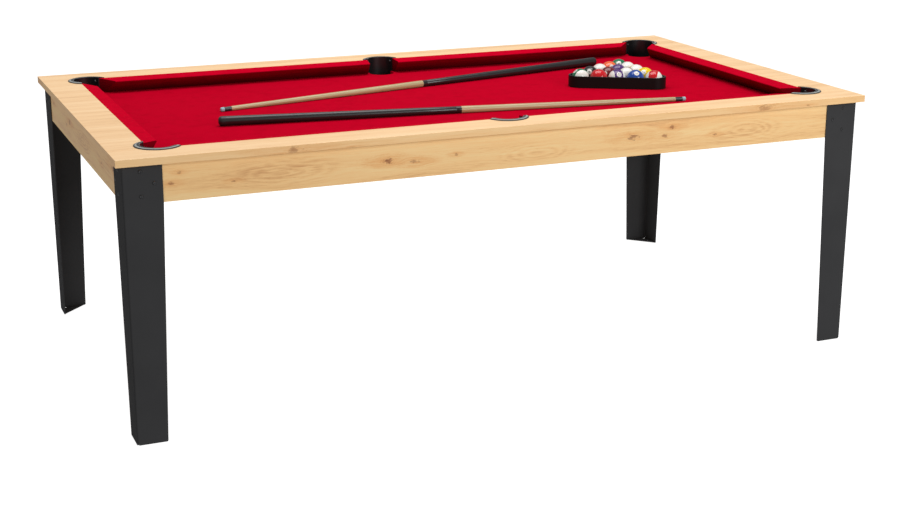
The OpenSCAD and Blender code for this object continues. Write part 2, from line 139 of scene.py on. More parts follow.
class Graph:
    """A material's node tree, with one method that adds any node."""

    def __init__(self, name: str) -> None:
        """Starts an empty material.

        Args:
            name: Its name.
        """
        self.material = bpy.data.materials.new(name)
        self.material.use_nodes = True
        self.tree = self.material.node_tree
        self.tree.nodes.clear()

    def node(self, kind: str, values: dict[str | int, Value] | None = None,
             settings: dict[str, object] | None = None) -> bpy.types.Node:
        """Adds a node.

        Args:
            kind: The node's type.
            values: A value or a link for each named or numbered socket.
            settings: The node's own settings, set before its sockets. "stops" fills a colour ramp.

        Returns:
            The node.
        """
        made = self.tree.nodes.new(kind)
        for name, setting in (settings or {}).items():
            if name == "stops":
                self._fill_ramp(made.color_ramp, setting)
            else:
                setattr(made, name, setting)
        for name, value in (values or {}).items():
            socket = made.inputs[name]
            if isinstance(value, Wire):
                self.tree.links.new(value.socket, socket)
            elif isinstance(value, (tuple, list)) and len(value) == 3 and len(socket.default_value) == 4:
                socket.default_value = (*value, 1.0)
            else:
                socket.default_value = value
        return made

    def _fill_ramp(self, ramp: bpy.types.ColorRamp, stops: Sequence[tuple[float, Colour]]) -> None:
        """Gives a ramp its stops.

        Args:
            ramp: The ramp.
            stops: A place, usually from 0 to 1, and a colour for each stop.
        """
        while len(ramp.elements) < len(stops):
            ramp.elements.new(0.5)
        for element, (place, colour) in zip(ramp.elements, stops):
            element.position = place
            element.color = (*colour, 1.0)

    def output(self, kind: str, values: dict[str | int, Value] | None = None,
               settings: dict[str, object] | None = None, socket: str | int = 0) -> Wire:
        """Adds a node and returns one of its outputs."""
        return Wire(self, self.node(kind, values, settings).outputs[socket])

    def math(self, operation: str, first: "Wire | float", second: "Wire | float" = 0.0) -> Wire:
        """One Math node."""
        return self.output("ShaderNodeMath", {0: first, 1: second}, {"operation": operation})

    def wave(self, phase: Wire) -> Wire:
        """A sine's value, from 0 to 1."""
        return self.math("SINE", phase) * 0.5 + 0.5

    def place(self) -> Wire:
        """Object coordinates, in metres."""
        return self.output("ShaderNodeTexCoord", socket="Object")

    def facing(self) -> Wire:
        """The surface's own direction, without any bump."""
        return self.output("ShaderNodeNewGeometry", socket="True Normal")

    def split(self, vector: Wire) -> tuple[Wire, Wire, Wire]:
        """The three parts of a vector."""
        made = self.node("ShaderNodeSeparateXYZ", {0: vector})
        return Wire(self, made.outputs[0]), Wire(self, made.outputs[1]), Wire(self, made.outputs[2])

    def join(self, x: "Wire | float", y: "Wire | float", z: "Wire | float") -> Wire:
        """A vector from three parts."""
        return self.output("ShaderNodeCombineXYZ", {0: x, 1: y, 2: z})

    def mix(self, share: "Wire | float", first: Value, second: Value) -> Wire:
        """A colour between two, by share."""
        values = {"Factor": share, 6: first, 7: second}
        return self.output("ShaderNodeMix", values, {"data_type": "RGBA"}, 2)

    def multiply(self, share: "Wire | float", first: Value, second: Value) -> Wire:
        """The first colour darkened by the second, by share."""
        settings = {"data_type": "RGBA", "blend_type": "MULTIPLY"}
        return self.output("ShaderNodeMix", {"Factor": share, 6: first, 7: second}, settings, 2)

    def blend(self, share: "Wire | float", first: "Wire | float", second: "Wire | float") -> Wire:
        """A number between two, by share."""
        return self.output("ShaderNodeMix", {"Factor": share, 2: first, 3: second}, {"data_type": "FLOAT"})

    def ramp(self, share: Wire, stops: Sequence[tuple[float, Colour]]) -> Wire:
        """A colour from a ramp."""
        return self.output("ShaderNodeValToRGB", {"Fac": share}, {"stops": stops}, "Color")

    def noise(self, vector: Wire, scale: float = 1.0, detail: float = 2.0, rough: float = 0.5,
              twist: float = 0.0) -> Wire:
        """Smooth noise from 0 to 1 over a vector.

        Args:
            vector: Where the noise is read.
            scale: Waves in a unit of the vector.
            detail: How many finer layers it has.
            rough: How strong each finer layer is.
            twist: How far it is swirled.

        Returns:
            The noise.
        """
        values = {"Vector": vector, "Scale": scale, "Detail": detail, "Roughness": rough, "Distortion": twist}
        return self.output("ShaderNodeTexNoise", values)

    def bump(self, height: Wire, depth: float, under: Wire | None = None, strength: float = 1.0) -> Wire:
        """A normal that follows a height.

        Args:
            height: The height, from 0 to 1.
            depth: How tall 1 is, in metres.
            under: Another bump's normal to start from.
            strength: How much of it shows.

        Returns:
            The normal.
        """
        values = {"Height": height, "Distance": depth, "Strength": strength}
        if under is not None:
            values["Normal"] = under
        return self.output("ShaderNodeBump", values)

    def finish(self, **sockets: Value) -> bpy.types.Material:
        """Ends the material with a Principled surface.

        Args:
            sockets: Its sockets, with their names' spaces written as underscores.

        Returns:
            The material.
        """
        values = {name.replace("_", " "): value for name, value in sockets.items()}
        shader = self.node("ShaderNodeBsdfPrincipled", values)
        end = self.node("ShaderNodeOutputMaterial")
        self.tree.links.new(shader.outputs[0], end.inputs["Surface"])
        return self.material


class SkyGraph(Graph):
    """A world's node tree, which may look brighter than it shines."""

    def __init__(self, world: bpy.types.World) -> None:
        """Empties a world's tree.

        Args:
            world: The world.
        """
        world.use_nodes = True
        self.tree = world.node_tree
        self.tree.nodes.clear()

    def shine(self, seen: float, cast: float) -> None:
        """Ends the tree.

        Args:
            seen: How bright the sky looks to the camera.
            cast: How brightly it lights the table.
        """
        camera = self.output("ShaderNodeLightPath", socket="Is Camera Ray")
        light = {"Color": (1.0, 1.0, 1.0), "Strength": self.blend(camera, cast, seen)}
        sky = self.node("ShaderNodeBackground", light)
        end = self.node("ShaderNodeOutputWorld")
        self.tree.links.new(sky.outputs[0], end.inputs["Surface"])




# ---------------------------------------------------------------- finishes


# Painted shade: the upright faces of a board are tinted warmer and darker than its level faces.
UPRIGHT_PAINTED_SHADE = (1.0, 0.955, 0.83)
HALO_TINT = (0.89, 0.71, 0.57)
JOINT_TINT = (0.62, 0.50, 0.38)
HEART_BROWN = srgb(150, 92, 60)


@dataclass(frozen=True)
class Knot:
    """A knot in a board's face, or a swirl of its grain where it has no dark heart.

    Attributes:
        along: Where it is along the grain, in metres.
        across: Where it is across the grain.
        length: Half its size along the grain.
        width: Half its size across the grain.
        dark: How dark its heart is, from 0 to 1.
    """

    along: float
    across: float
    length: float = 0.012
    width: float = 0.007
    dark: float = 0.8

    def turned(self, shift: float, middle: float) -> "Knot":
        """The same knot on a board turned end for end about a height and moved along."""
        return Knot(shift - self.along, 2 * middle - self.across, self.length, self.width, self.dark)


@dataclass(frozen=True)
class OakFoil:
    """Knotty oak foil with streaks, swirls, pores and knots.

    Attributes:
        name: The finish's name.
        pale: The palest wood.
        warm: The usual wood.
        deep: The dark streaks.
        knots: Knots at stated places.
        shift: Moves the pattern, so that no two boards match.
        joints: Thin dark joints across an end board, at these places along y.
    """

    name: str
    pale: Colour
    warm: Colour
    deep: Colour
    knots: tuple[Knot, ...] = ()
    shift: float = 0.0
    joints: tuple[float, ...] = ()

    def grain(self, graph: Graph) -> tuple[Wire, Wire, Wire]:
        """Finds the way of the grain.

        Args:
            graph: The material.

        Returns:
            Where a point is along and across the grain, and 1 where its face is level.
        """
        x, y, z = graph.split(graph.place())
        facing = graph.split(graph.facing())
        at_end = abs(facing[0]).smooth(0.6, 0.8)
        level = abs(facing[2]).smooth(0.6, 0.8)
        return graph.blend(at_end, x, y), graph.blend(level, z, y), level

    def drawn(self, where: tuple[Wire, Wire], waves: tuple[float, float], detail: float = 2.0,
              rough: float = 0.5, shift: float = 0.0) -> Wire:
        """Noise that is drawn out along the grain.

        Args:
            where: Where a point is along and across the grain.
            waves: Waves in a metre, along and across.
            detail: How many finer layers it has.
            rough: How strong each finer layer is.
            shift: Moves this noise away from the board's others.

        Returns:
            The noise.
        """
        graph = where[0].graph
        spread = graph.join(where[0] * waves[0], where[1] * waves[1], self.shift + shift)
        return graph.noise(spread, 1.0, detail, rough)

    def hearts(self, graph: Graph, along: Wire, across: Wire
               ) -> tuple[Wire | float, Wire | float, Wire | float, Wire]:
        """Draws the stated knots.

        Args:
            graph: The material.
            along: Where a point is along the grain.
            across: Where it is across the grain.

        Returns:
            How dark the hearts are, how dark the wood round them is, how far the nearest knot or swirl is
            in its own sizes squared, and the grain pushed aside by them.
        """
        heart: Wire | float = 0.0
        halo: Wire | float = 0.0
        nearest: Wire | float = 60.0
        pushed = across
        ragged = self.drawn((along, across), (150.0, 260.0), 4.0, 0.8) - 0.5
        lobes = self.drawn((along, across), (42.0, 70.0), 2.0, 0.6, 9.0) - 0.5
        for knot in self.knots:
            reach = (along - knot.along) * (1 / knot.length)
            rise = (across - knot.across) * (1 / knot.width)
            far = reach * reach + rise * rise
            spread = far + lobes * 5.0
            core = (spread * 1.5 + ragged * 5.0).smooth(1.5, 0.0)
            heart = graph.math("MAXIMUM", core * knot.dark, heart)
            drawn = reach * reach * 0.16 + rise * rise * 0.8 + lobes * 3.0 + ragged * 8.0
            halo = graph.math("MAXIMUM", drawn.smooth(6.0, 0.0) * knot.dark, halo)
            nearest = graph.math("MINIMUM", far * (2.6 if knot.dark else 1.0), nearest)
            pushed = pushed - rise * far.smooth(14.0, 0.5) * (0.55 * knot.width)
        return heart, halo, nearest, pushed

    def material(self) -> bpy.types.Material:
        """Builds the finish.

        Returns:
            The material.
        """
        graph = Graph(self.name)
        along, across, level = self.grain(graph)
        heart, halo, nearest, pushed = self.hearts(graph, along, across)
        where = (along, pushed)
        wander = self.drawn(where, (2.8, 8.0), 3.0, 0.55) - 0.5
        swirl = graph.wave(pushed * 560.0 + wander * 62.0)
        patches = self.drawn(where, (1.9, 12.0), shift=4.0).smooth(0.44, 0.66)
        streak = self.drawn(where, (1.6, 30.0), 5.0, 0.62).smooth(0.28, 0.74)
        fibre = self.drawn(where, (13.0, 430.0), 3.0, 0.7).smooth(0.28, 0.72)
        dash = self.drawn(where, (52.0, 620.0), 2.0, 0.6).smooth(0.52, 0.72)
        tone = streak * 0.44 + swirl * patches * 0.17 + fibre * 0.30 + dash * 0.13
        if self.knots:
            ripple = graph.wave(graph.math("SQRT", nearest) * 9.0 + wander * 34.0 + fibre * 3.0)
            tone = tone + ripple * nearest.smooth(9.0, 1.0) * 0.20
        wood = graph.ramp(tone, ((0.10, self.pale), (0.46, self.warm), (1.05, self.deep)))
        # Painted shade: the board's upright faces are tinted warmer and darker than its level ones.
        upright = graph.multiply(1.0 - level, wood, UPRIGHT_PAINTED_SHADE)
        if self.knots:
            upright = graph.multiply(halo * (0.40 + fibre * 0.85), upright, HALO_TINT)
        share = graph.math("MINIMUM", heart * (0.72 + fibre * 0.5), 1.0)
        knotted = graph.mix(share, upright, HEART_BROWN)
        for joint in self.joints:
            line = abs(across - joint - wander * 0.008).smooth(0.0024, 0.0004)
            knotted = graph.multiply(line * (0.20 + streak * 0.35), knotted, JOINT_TINT)
        return graph.finish(Base_Color=knotted, Roughness=graph.blend(streak, 0.52, 0.40),
                            Normal=graph.bump(tone, 0.00010), Specular_IOR_Level=0.28)


@dataclass(frozen=True)
class PowderCoat:
    """Sprayed and baked coat on steel.

    Attributes:
        name: The finish's name.
        base: Its colour.
        rough: Its usual roughness.
        peel: Height of its fine grain, in metres.
        shine: How strongly it mirrors.
    """

    name: str
    base: Colour
    rough: float = 0.7
    peel: float = 0.00006
    shine: float = 0.02

    def material(self) -> bpy.types.Material:
        """Builds the finish.

        Returns:
            The material.
        """
        graph = Graph(self.name)
        place = graph.place()
        grain = graph.noise(place, 1400.0, 2.0, 0.6)
        cloud = graph.noise(place, 5.0, 3.0)
        tone = graph.mix(cloud, self.base, tuple(channel * 1.5 for channel in self.base))
        rough = graph.blend(grain, self.rough - 0.05, self.rough + 0.07)
        return graph.finish(Base_Color=tone, Roughness=rough, Normal=graph.bump(grain, self.peel),
                            Specular_IOR_Level=self.shine)


@dataclass(frozen=True)
class Baize:
    """Brushed woven cloth, stretched tight.

    Attributes:
        name: The finish's name.
        base: The cloth's usual colour.
        deep: The colour between its fibres.
        streaks: How strongly it is streaked along x and y.
        under: How much light the painted shade leaves on faces that lean away from the top, such as the
            cushion's face under its nose; 1 paints none.
        bed: Height of the bed, in metres, near which the painted shade is darkest.
    """

    name: str
    base: Colour
    deep: Colour
    streaks: float = 0.2
    under: float = 1.0
    bed: float = 0.745

    def material(self) -> bpy.types.Material:
        """Builds the finish.

        Returns:
            The material.
        """
        graph = Graph(self.name)
        place = graph.place()
        x, y, z = graph.split(place)
        facing = graph.split(graph.facing())
        at_end = abs(facing[0]).smooth(0.5, 0.8)
        along = graph.blend(at_end, x, y)
        mottle = graph.noise(place, 26.0, 5.0, 0.65)
        brushed = graph.join(along * 14.0, graph.blend(at_end, y, x) * 150.0, z * 260.0)
        drawn = graph.noise(brushed, 1.0, 3.0, 0.6)
        nap = graph.noise(place, 1500.0, 3.0, 0.75)
        warp = graph.math("SINE", x * 5200.0) * graph.math("SINE", (y + z) * 5200.0)
        tone = mottle * (0.75 - self.streaks) + drawn * self.streaks + nap * 0.25
        cloth = graph.ramp(tone, ((0.30, self.deep), (0.52, self.base), (0.85, self.base)))
        # Painted shade: faces that lean away from the top, the cushion's face under its nose most, are
        # darkened, more so towards the bed, with painted streaks of shade across them.
        if self.under < 1.0:
            shade_streaks = graph.noise(graph.join(along * 5.0, z * 420.0, 0.0), 1.0, 2.0, 0.5)
            height = (z - self.bed).smooth(0.0, 0.042)
            shade = self.under * (0.72 + height * 0.95 + (shade_streaks - 0.5) * 1.1)
            shaded_faces = facing[2].smooth(0.62, 0.05)
            dark = graph.multiply(1.0, cloth, graph.join(shade, shade, shade))
            cloth = graph.mix(shaded_faces, cloth, dark)
        threads = graph.bump(warp * 0.5 + 0.5, 0.00005)
        fuzz = graph.bump(nap, 0.00010, threads)
        return graph.finish(Base_Color=cloth, Roughness=0.95, Normal=fuzz, Specular_IOR_Level=0.01,
                            Sheen_Weight=0.02, Sheen_Roughness=0.5, Sheen_Tint=(1.0, 0.05, 0.1, 1.0))


@dataclass(frozen=True)
class Moulding:
    """Moulded plastic or rubber, with a faint flow pattern and fine handling marks.

    Attributes:
        name: The finish's name.
        base: Its colour.
        rough: Its usual roughness.
        spread: How far the roughness wanders from that.
        texture: Height of its fine marks, in metres.
        coat: Its clear coat.
        shine: How strongly it mirrors.
    """

    name: str
    base: Colour
    rough: float = 0.32
    spread: float = 0.08
    texture: float = 0.00003
    coat: float = 0.0
    shine: float = 0.5

    def material(self) -> bpy.types.Material:
        """Builds the finish.

        Returns:
            The material.
        """
        graph = Graph(self.name)
        place = graph.place()
        flow = graph.noise(place, 12.0, 3.0, 0.5, 0.8)
        speck = graph.noise(place, 900.0, 2.0, 0.6)
        tone = graph.mix(flow, self.base, tuple(min(1.0, channel * 1.35 + 0.001) for channel in self.base))
        rough = graph.blend(flow * 0.6 + speck * 0.4, self.rough - self.spread, self.rough + self.spread)
        return graph.finish(Base_Color=tone, Roughness=rough, Normal=graph.bump(speck, self.texture),
                            Coat_Weight=self.coat, Coat_Roughness=0.08, Specular_IOR_Level=self.shine)


@dataclass(frozen=True)
class PlainWood:
    """Raw softwood, fibreboard or a cue's shaft, with straight grain along one axis.

    Attributes:
        name: The finish's name.
        pale: The pale wood.
        deep: The dark lines.
        along: The direction of the grain.
        fine: How many lines a metre has.
        rough: Its roughness.
        coat: Its lacquer.
    """

    name: str
    pale: Colour
    deep: Colour
    along: tuple[float, float, float] = (1.0, 0.0, 0.0)
    fine: float = 260.0
    rough: float = 0.6
    coat: float = 0.0

    def material(self) -> bpy.types.Material:
        """Builds the finish.

        Returns:
            The material.
        """
        graph = Graph(self.name)
        place = graph.place()
        turn = Vector(self.along).rotation_difference(Vector((1.0, 0.0, 0.0))).to_euler()
        turned = graph.output("ShaderNodeMapping", {"Vector": place, "Rotation": tuple(turn)})
        x, y, z = graph.split(turned)
        lines = graph.noise(graph.join(x * 5.0, y * self.fine, z * self.fine), 1.0, 3.0, 0.6)
        drift = graph.noise(graph.join(x * 2.0, y * 20.0, z * 20.0), 1.0, 2.0)
        tone = graph.ramp(lines * 0.7 + drift * 0.3, ((0.3, self.deep), (0.62, self.pale)))
        rough = graph.blend(lines, self.rough - 0.06, self.rough + 0.06)
        return graph.finish(Base_Color=tone, Roughness=rough, Normal=graph.bump(lines, 0.00005),
                            Coat_Weight=self.coat, Coat_Roughness=0.2)


@dataclass(frozen=True)
class BrightMetal:
    """Plated steel with fine scratches.

    Attributes:
        name: The finish's name.
        base: Its colour.
        rough: Its usual roughness.
    """

    name: str
    base: Colour
    rough: float = 0.32

    def material(self) -> bpy.types.Material:
        """Builds the finish.

        Returns:
            The material.
        """
        graph = Graph(self.name)
        place = graph.place()
        scratch = graph.noise(place, 700.0, 3.0, 0.7, 1.5)
        tone = graph.mix(scratch, self.base, tuple(channel * 0.8 for channel in self.base))
        return graph.finish(Base_Color=tone, Metallic=1.0, Normal=graph.bump(scratch, 0.00002),
                            Roughness=graph.blend(scratch, self.rough - 0.08, self.rough + 0.1))


@dataclass(frozen=True)
class Resin:
    """Polished ball resin: a deep colour under a clear shine, with faint chalk marks.

    Attributes:
        name: The finish's name.
        base: Its colour.
    """

    name: str
    base: Colour

    def material(self) -> bpy.types.Material:
        """Builds the finish.

        Returns:
            The material.
        """
        graph = Graph(self.name)
        place = graph.place()
        cloud = graph.noise(place, 60.0, 3.0)
        marks = graph.noise(place, 140.0, 2.0, 0.5, 1.0).smooth(0.50, 0.80)
        tone = graph.mix(cloud, self.base, tuple(channel * 0.93 for channel in self.base))
        return graph.finish(Base_Color=tone, Roughness=graph.blend(marks, 0.15, 0.20),
                            Normal=graph.bump(marks, 0.000002), Coat_Weight=0.15, Coat_Roughness=0.04)


Finish = OakFoil | PowderCoat | Baize | Moulding | PlainWood | BrightMetal | Resin


class Finishes:
    """Every finish of the table and what lies on it, each built once."""

    def __init__(self) -> None:
        """Starts with none built."""
        self.built: dict[str, bpy.types.Material] = {}

    def get(self, finish: Finish) -> bpy.types.Material:
        """Builds a finish when it is first asked for.

        Args:
            finish: The finish.

        Returns:
            Its material.
        """
        if finish.name not in self.built:
            self.built[finish.name] = finish.material()
        return self.built[finish.name]

    def dress(self, piece: bpy.types.Object, *finishes: Finish) -> None:
        """Gives a piece its finishes.

        Args:
            piece: The piece.
            finishes: A finish for each of its slots, in their order.
        """
        while len(piece.data.materials) > len(finishes):
            piece.data.materials.pop()
        for number, finish in enumerate(finishes):
            material = self.get(finish)
            if number < len(piece.data.materials):
                piece.data.materials[number] = material
            else:
                piece.data.materials.append(material)


# ---------------------------------------------------------------- modelling


SAME_PLACE = 0.00001
ROUND_STEPS = 96
TOOL_FOOT, TOOL_HEAD, TOOL_TOP = 0.6, 0.9, 1.0


class Part(Enum):
    """The kinds of mesh part that can be picked."""

    EDGE = "edges"
    FACE = "faces"


class Bench:
    """Shapes meshes with operators, one piece at a time."""

    @staticmethod
    def clear() -> None:
        """Leaves edit mode and deselects everything."""
        if bpy.context.mode != "OBJECT":
            bpy.ops.object.mode_set(mode="OBJECT")
        bpy.ops.object.select_all(action="DESELECT")

    @staticmethod
    def take(piece: bpy.types.Object) -> bpy.types.Object:
        """Makes a piece the only one selected.

        Args:
            piece: The piece.

        Returns:
            The same piece.
        """
        Bench.clear()
        piece.select_set(True)
        bpy.context.view_layer.objects.active = piece
        return piece

    @staticmethod
    def named(name: str) -> bpy.types.Object:
        """Names the primitive that was just added and puts its place into its mesh.

        Args:
            name: Its name.

        Returns:
            The piece.
        """
        piece = bpy.context.active_object
        piece.name = name
        piece.data.name = name
        bpy.ops.object.transform_apply(location=True, rotation=True, scale=True)
        return piece

    @staticmethod
    def block(name: str, low: Sequence[float], high: Sequence[float]) -> bpy.types.Object:
        """Adds a box.

        Args:
            name: Its name.
            low: Its lowest corner.
            high: Its highest corner.

        Returns:
            The piece.
        """
        Bench.clear()
        middle = (Vector(low) + Vector(high)) / 2
        bpy.ops.mesh.primitive_cube_add(size=1.0, location=middle, scale=Vector(high) - Vector(low))
        return Bench.named(name)

    @staticmethod
    def drum(name: str, radius: float, heights: tuple[float, float], at: Sequence[float]
             ) -> bpy.types.Object:
        """Adds an upright cylinder.

        Args:
            name: Its name.
            radius: Its radius.
            heights: Where it begins and ends.
            at: Where its axis stands, along x and y.

        Returns:
            The piece.
        """
        low, high = heights
        Bench.clear()
        bpy.ops.mesh.primitive_cylinder_add(vertices=ROUND_STEPS, radius=radius, depth=high - low,
                                            location=(at[0], at[1], (low + high) / 2))
        return Bench.named(name)

    @staticmethod
    def outline(name: str, points: Sequence[Point]) -> bpy.types.Object:
        """Adds a closed outline without a face.

        Args:
            name: Its name.
            points: Its corners.

        Returns:
            The piece.
        """
        Bench.clear()
        bpy.ops.mesh.primitive_circle_add(vertices=len(points), radius=1.0, fill_type="NOTHING")
        piece = Bench.named(name)
        for corner, point in zip(piece.data.vertices, points):
            corner.co = point
        return piece

    @staticmethod
    def edit(piece: bpy.types.Object, all_of_it: bool = True) -> None:
        """Opens a piece in edit mode.

        Args:
            piece: The piece.
            all_of_it: Whether all of it is selected, or none.
        """
        Bench.take(piece)
        bpy.ops.object.mode_set(mode="EDIT")
        bpy.ops.mesh.select_mode(type="VERT")
        bpy.ops.mesh.select_all(action="SELECT" if all_of_it else "DESELECT")

    @staticmethod
    def done() -> None:
        """Leaves edit mode."""
        bpy.ops.object.mode_set(mode="OBJECT")

    @staticmethod
    def pick(piece: bpy.types.Object, kind: Part, test: Callable[[object], bool]) -> None:
        """Selects, in edit mode, the parts of a piece that pass a test.

        Args:
            piece: The piece that is open.
            kind: The kind of part.
            test: Says whether one is picked.
        """
        bpy.ops.mesh.select_mode(type=kind.name)
        bpy.ops.mesh.select_all(action="DESELECT")
        mesh = bmesh.from_edit_mesh(piece.data)
        for part in getattr(mesh, kind.value):
            if test(part):
                part.select_set(True)
        mesh.select_flush_mode()
        bmesh.update_edit_mesh(piece.data)

    @staticmethod
    def seal(piece: bpy.types.Object) -> bpy.types.Object:
        """Merges doubled corners, drops loose edges and turns every face outwards.

        Args:
            piece: The piece.

        Returns:
            The same piece.
        """
        Bench.edit(piece)
        bpy.ops.mesh.remove_doubles(threshold=SAME_PLACE)
        bpy.ops.mesh.delete_loose(use_verts=True, use_edges=True, use_faces=False)
        bpy.ops.mesh.select_all(action="SELECT")
        bpy.ops.mesh.normals_make_consistent(inside=False)
        Bench.done()
        return piece

    @staticmethod
    def spun(name: str, points: Sequence[Point], steps: int) -> bpy.types.Object:
        """Adds a closed solid spun about z.

        Args:
            name: Its name.
            points: Its outline in the xz plane.
            steps: How many faces it has around.

        Returns:
            The piece.
        """
        piece = Bench.outline(name, points)
        Bench.edit(piece)
        bpy.ops.mesh.spin(steps=steps, angle=math.tau, center=(0.0, 0.0, 0.0), axis=(0.0, 0.0, 1.0))
        Bench.done()
        return Bench.seal(piece)

    @staticmethod
    def modify(piece: bpy.types.Object, kind: str, **settings: object) -> bpy.types.Object:
        """Adds a modifier and applies it.

        Args:
            piece: The piece.
            kind: The modifier's type.
            settings: Its settings.

        Returns:
            The same piece.
        """
        Bench.take(piece)
        modifier = piece.modifiers.new(kind.lower(), kind)
        for name, value in settings.items():
            setattr(modifier, name, value)
        bpy.ops.object.modifier_apply(modifier=modifier.name)
        return piece

    @staticmethod
    def cut(piece: bpy.types.Object, tool: bpy.types.Object) -> bpy.types.Object:
        """Cuts a tool's shape out of a piece and puts the tool away.

        Args:
            piece: The piece.
            tool: The tool.

        Returns:
            The same piece.
        """
        Bench.modify(piece, "BOOLEAN", operation="DIFFERENCE", solver="EXACT", object=tool)
        bpy.data.objects.remove(tool)
        return piece

    @staticmethod
    def soften(piece: bpy.types.Object, width: float, segments: int = 2, angle: float = 35.0
               ) -> bpy.types.Object:
        """Rounds a piece's sharp edges and smooths the rest.

        Args:
            piece: The piece.
            width: Width of the rounding.
            segments: How many faces each rounding has.
            angle: How sharp an edge has to be, in degrees.

        Returns:
            The same piece.
        """
        Bench.modify(piece, "BEVEL", width=width, segments=segments, limit_method="ANGLE",
                     angle_limit=math.radians(angle), use_clamp_overlap=True)
        Bench.smooth(piece)
        return Bench.modify(piece, "WEIGHTED_NORMAL", mode="FACE_AREA", weight=100, keep_sharp=True)

    @staticmethod
    def smooth(piece: bpy.types.Object, angle: float = 35.0) -> bpy.types.Object:
        """Smooths a piece across all but its sharp edges.

        Args:
            piece: The piece.
            angle: How sharp an edge has to be to stay so, in degrees.

        Returns:
            The same piece.
        """
        Bench.take(piece)
        bpy.ops.object.shade_smooth_by_angle(angle=math.radians(angle))
        return piece

    @staticmethod
    def joined(pieces: Sequence[bpy.types.Object]) -> bpy.types.Object:
        """Joins pieces.

        Args:
            pieces: The pieces.

        Returns:
            The first, which now holds the rest.
        """
        Bench.clear()
        for piece in pieces:
            piece.select_set(True)
        bpy.context.view_layer.objects.active = pieces[0]
        bpy.ops.object.join()
        return pieces[0]

    @staticmethod
    def place(piece: bpy.types.Object, matrix: Matrix) -> bpy.types.Object:
        """Moves a piece's mesh.

        Args:
            piece: The piece.
            matrix: How it moves.

        Returns:
            The same piece.
        """
        piece.data.transform(matrix)
        piece.data.update()
        return piece

    @staticmethod
    def softened_copy(node: str, name: str, width: float) -> bpy.types.Object:
        """Copies a frame piece, merges its flat faces and rounds its sharp edges.

        Args:
            node: The frame's piece.
            name: The copy's name.
            width: Width of the rounding.

        Returns:
            The copy.
        """
        piece = frame["nodes"][node].copy()
        piece.data = frame["nodes"][node].data.copy()
        piece.name = name
        piece.data.name = name
        piece.parent = None
        for key in list(piece.keys()):
            del piece[key]
        bpy.context.scene.collection.objects.link(piece)
        piece.hide_render = False
        piece.hide_viewport = False
        Bench.edit(piece)
        bpy.ops.mesh.remove_doubles(threshold=SAME_PLACE)
        bpy.ops.mesh.customdata_custom_splitnormals_clear()
        bpy.ops.mesh.dissolve_limited(angle_limit=math.radians(1.0))
        Bench.done()
        return Bench.soften(piece, width)


def finish_piece(piece: bpy.types.Object, body: str, slot: str, *nodes: str) -> None:
    """Lets a finished piece ride on its body and stand for its nodes.

    Args:
        piece: The finished piece.
        body: The body that it moves with.
        slot: The material slot that its finish comes from; not used.
        nodes: The frame's pieces that it stands for.
    """
    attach(piece, body)
    if nodes:
        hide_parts(*nodes)
    LOG.info("%s: %d faces, on %s", piece.name, len(piece.data.polygons), body)


# ---------------------------------------------------------------- sub-assemblies


CORNERS = ("front_left", "front_right", "back_left", "back_right")
TOP_PALE, TOP_WARM, TOP_DEEP = srgb(255, 219, 173), srgb(250, 207, 156), srgb(218, 168, 114)
SIDE_PALE, SIDE_WARM, SIDE_DEEP = srgb(255, 224, 174), srgb(252, 210, 156), srgb(208, 151, 104)
FRONT_KNOTS = (
    Knot(-0.977, 0.740, 0.006, 0.004, 0.45), Knot(-0.999, 0.713, 0.008, 0.005, 0.6),
    Knot(-0.834, 0.704, 0.007, 0.004, 0.55), Knot(-0.401, 0.719, 0.017, 0.009, 0.75),
    Knot(-0.324, 0.709, 0.015, 0.008, 0.7), Knot(-0.202, 0.719, 0.006, 0.004, 0.6),
    Knot(-0.690, 0.712, 0.060, 0.014, 0.0), Knot(0.357, 0.721, 0.020, 0.009, 0.75),
    Knot(0.460, 0.717, 0.012, 0.006, 0.6), Knot(0.482, 0.740, 0.011, 0.006, 0.7),
    Knot(0.630, 0.707, 0.008, 0.004, 0.6), Knot(0.748, 0.715, 0.060, 0.014, 0.0),
    Knot(0.046, 0.703, 0.050, 0.012, 0.0),
)
EDGE_KNOTS = (
    Knot(-0.665, 0.777, 0.028, 0.010, 0.5), Knot(-0.509, 0.770, 0.006, 0.003, 0.5),
    Knot(0.789, 0.779, 0.028, 0.010, 0.45), Knot(0.941, 0.775, 0.008, 0.003, 0.5),
)
APRON_MIDDLE, RAIL_MIDDLE = 0.7225, 0.7765
BACK_KNOTS = tuple(knot.turned(0.06, APRON_MIDDLE) for knot in FRONT_KNOTS)
BACK_EDGE_KNOTS = tuple(knot.turned(0.02, RAIL_MIDDLE) for knot in EDGE_KNOTS)
LEFT_KNOTS = (
    Knot(-0.500, 0.734, 0.020, 0.008, 0.55), Knot(-0.330, 0.712, 0.008, 0.005, 0.6),
    Knot(-0.060, 0.716, 0.050, 0.013, 0.0), Knot(0.170, 0.727, 0.014, 0.007, 0.7),
    Knot(0.236, 0.709, 0.006, 0.004, 0.55), Knot(0.470, 0.731, 0.009, 0.005, 0.6),
)
RIGHT_KNOTS = tuple(knot.turned(-0.03, APRON_MIDDLE) for knot in LEFT_KNOTS)
COAT = PowderCoat("black_powder_coat", srgb(57, 57, 58))
SCREW_BLACK = BrightMetal("blackened_screws", srgb(92, 92, 94), 0.5)
ZINC = BrightMetal("zinc_plate", srgb(190, 192, 196))
CLOTH_RED = Baize("red_bed_cloth", srgb(189, 0, 34), srgb(170, 0, 28))
